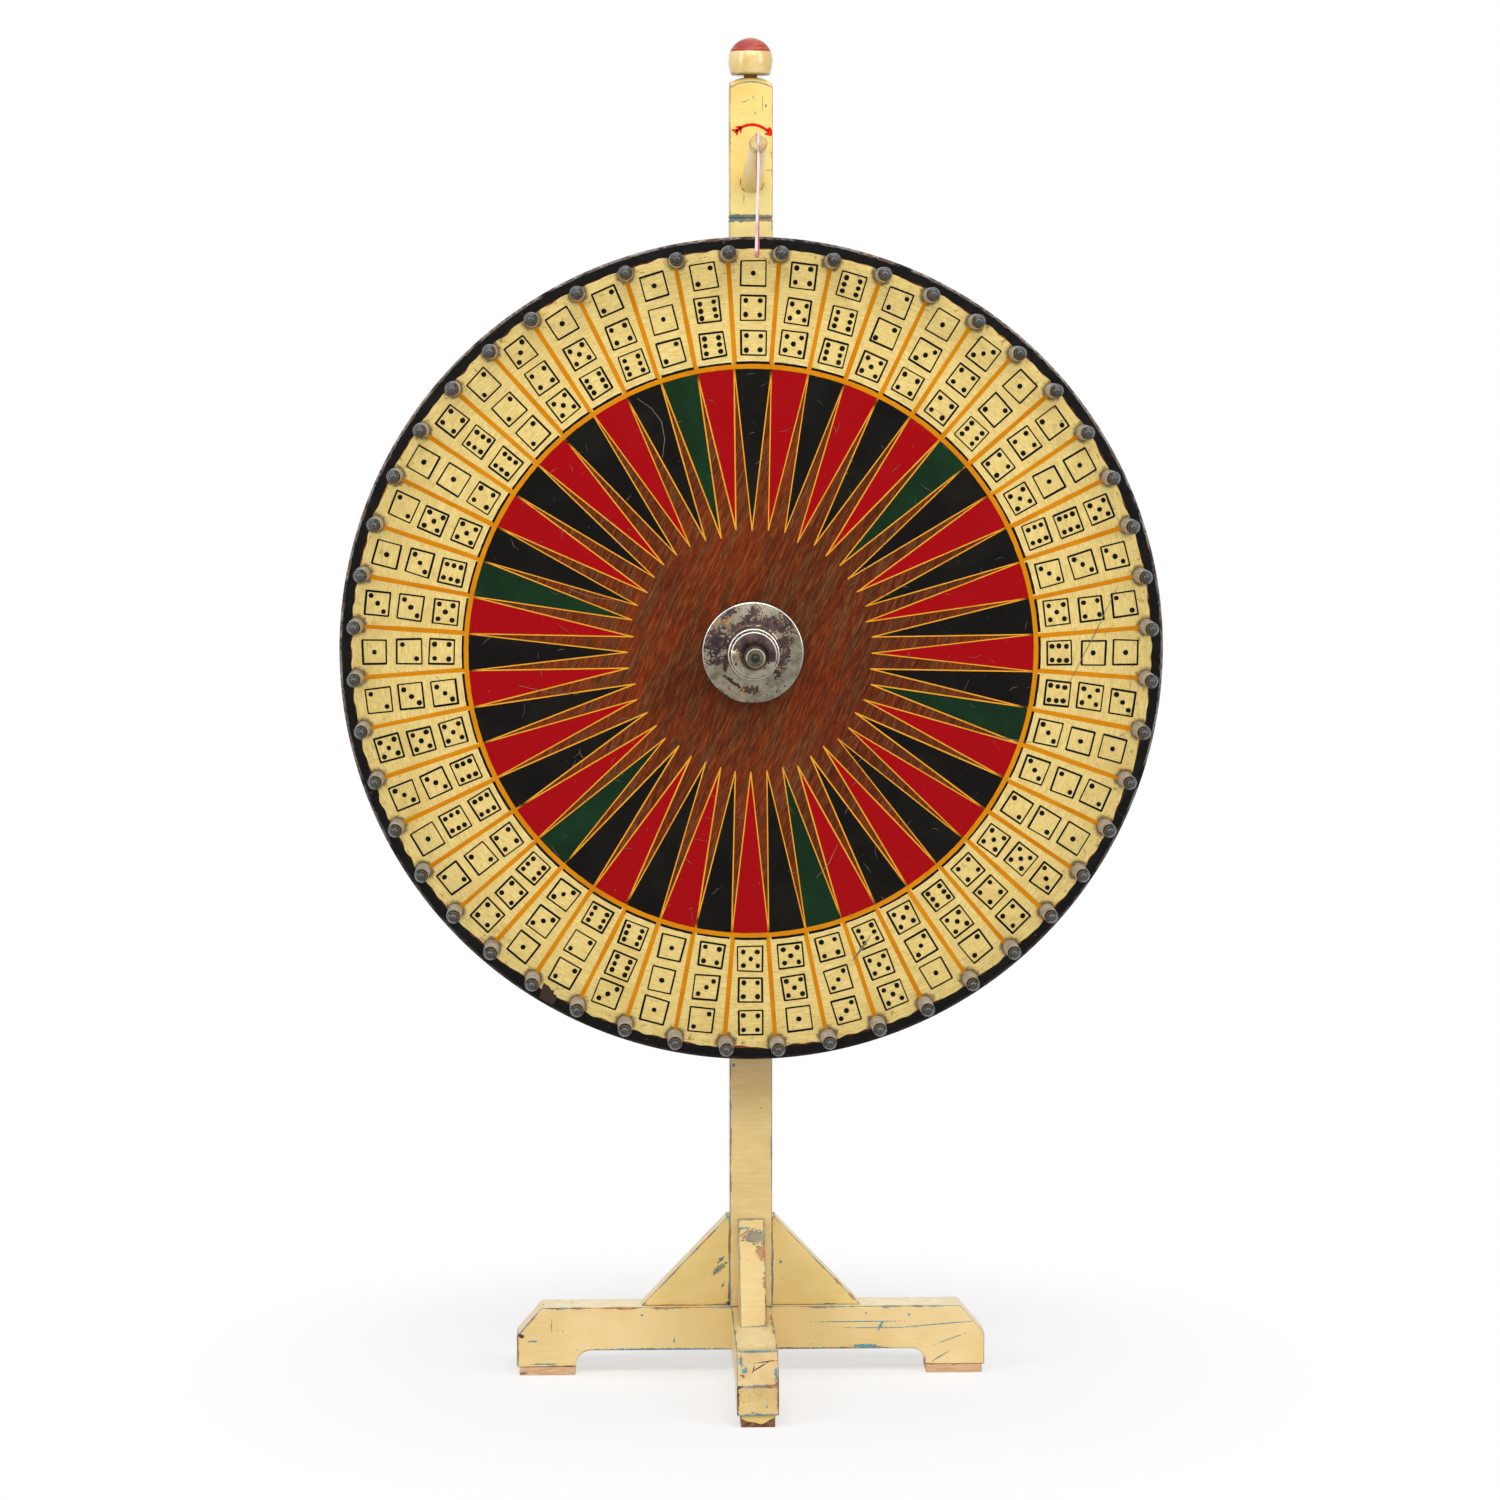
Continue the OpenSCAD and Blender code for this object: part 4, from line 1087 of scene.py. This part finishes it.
# Scratches and scuffs on the wheel: width, then places right of and above the axle, in mm
SCRATCHES = (
    (0.5, (-105, 234), (-92, 225), (-83, 213), (-80, 197), (-82, 180)),
    (0.7, (339, 61), (318, 17), (295, -28)),
    (1.6, (335, 25), (326, 15)),
    (1.2, (351, -19), (352, -37)),
    (3.0, (111, -264), (102, -277), (93, -289)),
    (0.8, (218, -76), (240, -81), (263, -84)),
    (2.2, (119, 191), (123, 187)),
    (1.6, (86, 170), (89, 164)),
    (1.2, (76, 209), (78, 203)),
    (1.0, (91, 182), (93, 176)),
    (2.4, (176, 191), (181, 187)),
    (0.6, (-170, 60), (-150, 52), (-128, 49)),
    (0.6, (-215, -30), (-190, -36), (-160, -38)),
    (0.7, (60, -210), (72, -196), (80, -178)),
)
RIM_CHIP = (
    (-193.3, -307), (-190.6, -309), (-188.5, -310.4), (-186.4, -314), (-183.6, -314.6), (-184.3, -317.4),
    (-181.5, -319), (-182.2, -323.6), (-185, -327.8), (-190, -325.7), (-197.5, -321.5), (-196, -314),
)
HAIRLINES = 110


def build_scratches():
    marks = Film("scratches", 3)
    for width, *places in SCRATCHES:
        widths = [width * MM * draw(0.6, 1.2) for _ in places]
        widths[0] = widths[-1] = 0.3 * MM
        marks.stroke(in_mm(places), widths)
    marks.finish("scuff")

    chip = Film("rim_chip", 1)
    chip.polygon(in_mm(RIM_CHIP))
    chip.finish("chip_brown")

    hairs = Film("hairlines", 3)
    end_w = 0.1 * MM
    for _ in range(HAIRLINES):
        middle = polar(draw(SPIKE_TIP_R, RING_IN_R), draw(0, 360))
        way = polar(draw(2, 8) * MM, draw(0, 180))
        bow = Vector((way.y, -way.x)) * shaky(0.3)
        wide = draw(0.2, 0.5) * MM
        hairs.stroke([middle - way, middle + bow, middle + way], [end_w, wide, end_w])
    hairs.finish("hairline")


build_disc()
build_cover()
build_nose()
build_pegs()
build_bands()
build_dice()
build_spikes()
build_scratches()


# Post and finial
def build_upper_post():
    low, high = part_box("upper_post")
    dome_h = 11 * MM
    drawn_l = 12 * MM
    edge = 1.6 * MM
    step = [3 * MM] * 3
    corner_r = (high.x - low.x) / 2 * sqrt(2)
    dome_r = (corner_r ** 2 + dome_h ** 2) / (2 * dome_h)
    corner_z = high.z - dome_h

    def domed(p):
        rise = sqrt(max(dome_r ** 2 - p.x ** 2 - p.y ** 2, 0)) - (dome_r - dome_h)
        near_top = max(0.0, (p.z - corner_z + drawn_l) / drawn_l)
        return Vector((p.x, p.y, p.z + max(rise, 0) * near_top))

    block("painted_upper_post", low, Vector((high.x, high.y, corner_z)), edge, step, upper_cream,
          "upper_post", domed)


def build_ball():
    low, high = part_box("finial_ball")
    ball_r = high.x
    side_r = 39 * MM
    sides = 64
    middle = high.z - ball_r
    below = middle - low.z
    foot_r = ball_r - side_r + sqrt(side_r ** 2 - below ** 2)
    profile = [(0.0, low.z), (foot_r - 1.2 * MM, low.z), (foot_r - 0.3 * MM, low.z + 0.4 * MM)]
    profile += arc((ball_r - side_r, middle), side_r, -degrees(asin(below / side_r)) + 2, 0, 12)
    profile += arc((0, middle), ball_r, 6, 90, 14)
    profile[-1] = (0.0, high.z)
    lathe("turned_ball", profile, sides, upward, ball_paint, "stand", "finial_ball")


# Foot
LAP_FIT = 0.04 * MM


def build_leg(node, along, paint):
    """A cross leg with sloped ends, an arch and its half of the lap, drawn along one axis."""
    low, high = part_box(node)
    half = high[along]
    width = high[1 - along]
    foot_l = 55.5 * MM
    slope_l, slope_h = 23.5 * MM, 27 * MM
    arch_z, arch_r = 23.5 * MM, 15 * MM
    edge = 2 * MM
    inner = half - foot_l
    slope_at = half - slope_l
    lap_z = (arch_z + high.z) / 2
    lap_half = width + LAP_FIT
    side_leg = along == 0

    def top(t):
        if side_leg and t < lap_half:
            return lap_z
        return high.z - slope_h * max(0.0, t - slope_at) / slope_l

    def bottom(t):
        if not side_leg and t < lap_half:
            return lap_z
        if t <= inner - arch_r:
            return arch_z
        if t < inner:
            return max(low.z, arch_z - arch_r + sqrt(max(arch_r ** 2 - (t - inner + arch_r) ** 2, 0)))
        return low.z

    def shaped(p):
        t = abs(p[along])
        share = (p.z - low.z) / (high.z - low.z)
        moved = p.copy()
        moved.z = bottom(t) + share * (top(t) - bottom(t))
        return moved

    marks = [lap_half - 0.01 * MM, lap_half + 0.01 * MM, slope_at - 0.8 * MM, slope_at + 0.8 * MM]
    marks += [inner - arch_r + arch_r * sin(radians(a)) for a in range(0, 91, 10)]
    marks += [inner + 0.02 * MM]
    cuts = [(), (), ()]
    cuts[along] = [sign * m for m in marks for sign in (-1, 1)]
    step = [3.2 * MM] * 3
    step[along] = 5 * MM
    block("painted_" + node, low, high, edge, step, paint, node, shaped, cuts)


def build_gusset(node, side, paint):
    """A three-cornered brace, drawn towards +X and turned to its side."""
    turn = radians(90 * side)
    low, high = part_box(node)
    size = high - low
    reach, thick = (size.x, size.y) if side % 2 == 0 else (size.y, size.x)
    start = -POST_FRONT
    edge = 0.9 * MM
    step = [2.6 * MM] * 3
    blunt = 2.5 * MM / reach

    def shaped(p):
        share = (p.z - low.z) / size.z
        out = start + (p.x - start) * (1 - share * (1 - blunt))
        across, ahead = sin(turn), cos(turn)
        return Vector((out * ahead - p.y * across, out * across + p.y * ahead, p.z))

    block("painted_" + node, Vector((start, -thick / 2, low.z)), Vector((start + reach, thick / 2, high.z)),
          edge, step, paint, node, shaped)


POST_EDGE = 1.4 * MM
POST_STEP = (5 * MM, 5 * MM, 7 * MM)
PAD_EDGE = 1 * MM
PAD_STEP = (3 * MM, 3 * MM, 2 * MM)

block("painted_post", *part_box("post"), POST_EDGE, POST_STEP, post_cream, "post")
build_upper_post()
build_ball()
build_leg("cross_leg_side", 0, side_leg_cream)
build_leg("cross_leg_front", 1, front_leg_cream)
for side, name in enumerate(("right", "back", "left", "front")):
    build_gusset("gusset_" + name, side, gusset_creams[name])
    pad = "foot_pad_" + name
    pad_paint = pad_wood if side % 2 == 0 else front_pad_wood
    block("worn_" + pad, *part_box(pad), PAD_EDGE, PAD_STEP, pad_paint, pad, slot="bare_wood")


# Pointer strip and spin arrow
ARM_TURN = atan2(FLEX_AXIS.x, -FLEX_AXIS.y)
STRIP_TWIST = radians(-13)


def build_strip():
    """The flapper strip, twisted more and more from where it leaves the arm down to its tip."""
    low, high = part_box("flapper")
    thick = 2.4 * MM
    wide = 20 * MM
    tip_w = 15 * MM
    front = -96 * MM
    middle = front + wide / 2
    tip_r = tip_w / 2
    edge = 0.4 * MM
    step = (1 * MM, 1.6 * MM, 2 * MM)
    free_z = FLEX_AT.z - 12 * MM

    def shaped(p):
        drop = p.z - low.z
        width = tip_w + (wide - tip_w) * drop / (high.z - low.z)
        offset = 0.0
        if drop < tip_r:
            width = max(2 * sqrt(max(tip_r ** 2 - (tip_r - drop) ** 2, 0)), 1 * MM)
            offset = (tip_w - width) / 2
        depth = front + offset + (p.y - front) / wide * width - middle
        twist = STRIP_TWIST * min(max((free_z - p.z) / (free_z - low.z), 0.0), 1.0)
        right = p.x * cos(twist) - depth * sin(twist)
        back = middle + p.x * sin(twist) + depth * cos(twist)
        c, s = cos(ARM_TURN), sin(ARM_TURN)
        return Vector((right * c - back * s, right * s + back * c, p.z))

    piece = block("bent_strip", Vector((-thick / 2, front, low.z)), Vector((thick / 2, front + wide, high.z)),
                  edge, step, strip_paint, None, shaped, slot="strip_leather", body=None)
    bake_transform(piece)
    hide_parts("flapper")


# The arrow's head, and its feathers with their widths at root and tip, in mm on the post
ARROW_HEAD = (
    (16.6, 1173), (18.6, 1171.3), (19.4, 1169), (19.4, 1164.7), (16.8, 1164.5), (12.3, 1165.9),
    (12.9, 1166.9), (15, 1167.6), (14.6, 1169.2), (15.6, 1171.2),
)
ARROW_FEATHERS = (
    (3.0, 1.6, (-8.8, 1172.2), (-13, 1170), (-18, 1169.4)),
    (2.2, 1.3, (-9.4, 1172.4), (-11.5, 1172.9), (-14.2, 1172.3)),
    (2.2, 1.4, (-9.6, 1171.4), (-9.9, 1169.4), (-9.5, 1167.1)),
    (2.6, 1.4, (-12.4, 1170.4), (-12.7, 1167.8), (-13.6, 1165)),
    (2.2, 1.2, (-12.8, 1170), (-14, 1168.4), (-15.6, 1167.2)),
)


def build_arrow():
    """The curved red arrow on the post, with a feathered tail on the left and its head on the right."""
    paint = Film("spin_arrow", 0, on_post)
    top = Vector((0.8, 1174.8)) * MM
    fall = 27
    steps = 16
    tail_x, head_x = -9.5 * MM, 15.5 * MM
    line_w = 2.8 * MM
    line = []
    for i in range(steps + 1):
        x = tail_x + (head_x - tail_x) * i / steps
        line.append(Vector((x, top.y - fall * (x - top.x) ** 2)))
    paint.stroke(line, [line_w * (1 + shaky(0.08)) for _ in line])
    paint.polygon(in_mm(ARROW_HEAD))
    for root_w, tip_w, *places in ARROW_FEATHERS:
        paint.stroke(in_mm(places), [root_w * MM, (root_w + tip_w) / 2 * MM, tip_w * MM])
    paint.finish("arrow_red", "stand", "cream_paint")


# Lower edge of the torn paint, right of the middle and above the floor, in mm
TORN_EDGE = (
    (-15, 8.6), (-12, 6.8), (-9.5, 5.4), (-6, 5.3), (-3, 4.8), (0, 3.9), (2, 3.2), (4.5, 3.6), (7, 4.8),
    (9.5, 6.6), (12, 7.9), (15, 9.3),
)


def build_torn_paint():
    """A flap of paint that hangs over the front pad."""
    inset = 2.4 * MM
    overlap = 0.4 * MM
    coats = 3
    flap_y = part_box("cross_leg_front")[0].y + inset
    upper_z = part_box("foot_pad_front")[1].z + overlap
    paint = Film("torn_paint", 0, lambda p, h: Vector((p.x, flap_y - coats * h, p.y)))
    edge = in_mm(TORN_EDGE)
    paint.band(edge, [Vector((p.x, upper_z)) for p in edge])
    paint.finish("torn_paint", "stand", "cream_paint")


build_torn_paint()
build_strip()
build_arrow()

# Lamps: name, place, aim, width and height in metres, and power
LAMPS = (
    ("left_softbox", (-2.4, -1.75, 2.1), (0, 0, 0.9), (1.0, 2.6), 41),
    ("right_softbox", (2.4, -1.75, 2.1), (0, 0, 0.9), (1.0, 2.6), 41),
    ("front_softbox", (0, -2.6, 3.4), (0, 0, 0.7), (3.0, 1.4), 68),
    ("top_softbox", (0, 0.1, 3.6), (0, 0, 0.4), (2.4, 2.2), 22),
)
FILL_LIGHT = 0.18

# The camera, fitted to the photograph; its focal length is in pixels of a frame of 1500
CAMERA_AT = (-0.124, -3.932, 0.9595)
CAMERA_YAW = radians(1.80)
CAMERA_PITCH = radians(-5.32)
FOCAL_PX = 4200
FRAME_PX = 1500
SENSOR = 36
WHITE = (1, 1, 1, 1)


# Floor, light and camera
def build_floor():
    half = 30
    bm = bmesh.new()
    bmesh.ops.create_grid(bm, x_segments=1, y_segments=1, size=half)
    data = bpy.data.meshes.new("floor")
    bm.to_mesh(data)
    bm.free()
    s = Shader("floor")
    x, y, _ = s.axes()
    path = s.node("LightPath", {}).outputs
    seen = s.most(path["Is Camera Ray"], path["Is Glossy Ray"])
    share = s.times(s.ramp(s.length(x, y), 0.15, 0.6, 0.6, 1.0), seen)
    glow = s.node("Emission", {"Color": WHITE, "Strength": 1.0}).outputs[0]
    mixed = s.node("MixShader", {0: share, 1: s.bsdf.outputs[0], 2: glow}).outputs[0]
    s.feed(s.tree.nodes["Material Output"].inputs["Surface"], mixed)
    data.materials.append(s.coat((0.9, 0.9, 0.9, 1), 0.9))
    add_object("floor", data)


def build_world():
    """White as it is seen and mirrored, and a weak fill as light."""
    world = bpy.data.worlds.new("studio")
    bpy.context.scene.world = world
    world.use_nodes = True
    w = Nodes(world.node_tree)
    path = w.node("LightPath", {}).outputs
    seen = w.most(path["Is Camera Ray"], path["Is Glossy Ray"], path["Is Transmission Ray"])
    background = w.tree.nodes["Background"].inputs
    w.feed(background["Color"], WHITE)
    w.feed(background["Strength"], w.node("MapRange", {"Value": seen, "To Min": FILL_LIGHT}).outputs[0])


def set_up(name, data, place, look):
    """A lamp or camera at a place, turned to look in a direction."""
    made = add_object(name, data)
    made.location = place
    made.rotation_euler = look.to_track_quat("-Z", "Y").to_euler()
    return made


def softbox(name, place, aim, size, power):
    lamp = bpy.data.lights.new(name, "AREA")
    lamp.shape = "RECTANGLE"
    lamp.size, lamp.size_y = size
    lamp.energy = power
    set_up(name, lamp, place, Vector(aim) - Vector(place))


def build_camera():
    level = cos(CAMERA_PITCH)
    look = Vector((sin(CAMERA_YAW) * level, cos(CAMERA_YAW) * level, sin(CAMERA_PITCH)))
    data = bpy.data.cameras.new("camera")
    data.sensor_width = SENSOR
    data.lens = SENSOR * FOCAL_PX / FRAME_PX
    bpy.context.scene.camera = set_up("camera", data, CAMERA_AT, look)


build_floor()
build_world()
for lamp in LAMPS:
    softbox(*lamp)
build_camera()
bpy.context.scene.view_settings.view_transform = "Standard"
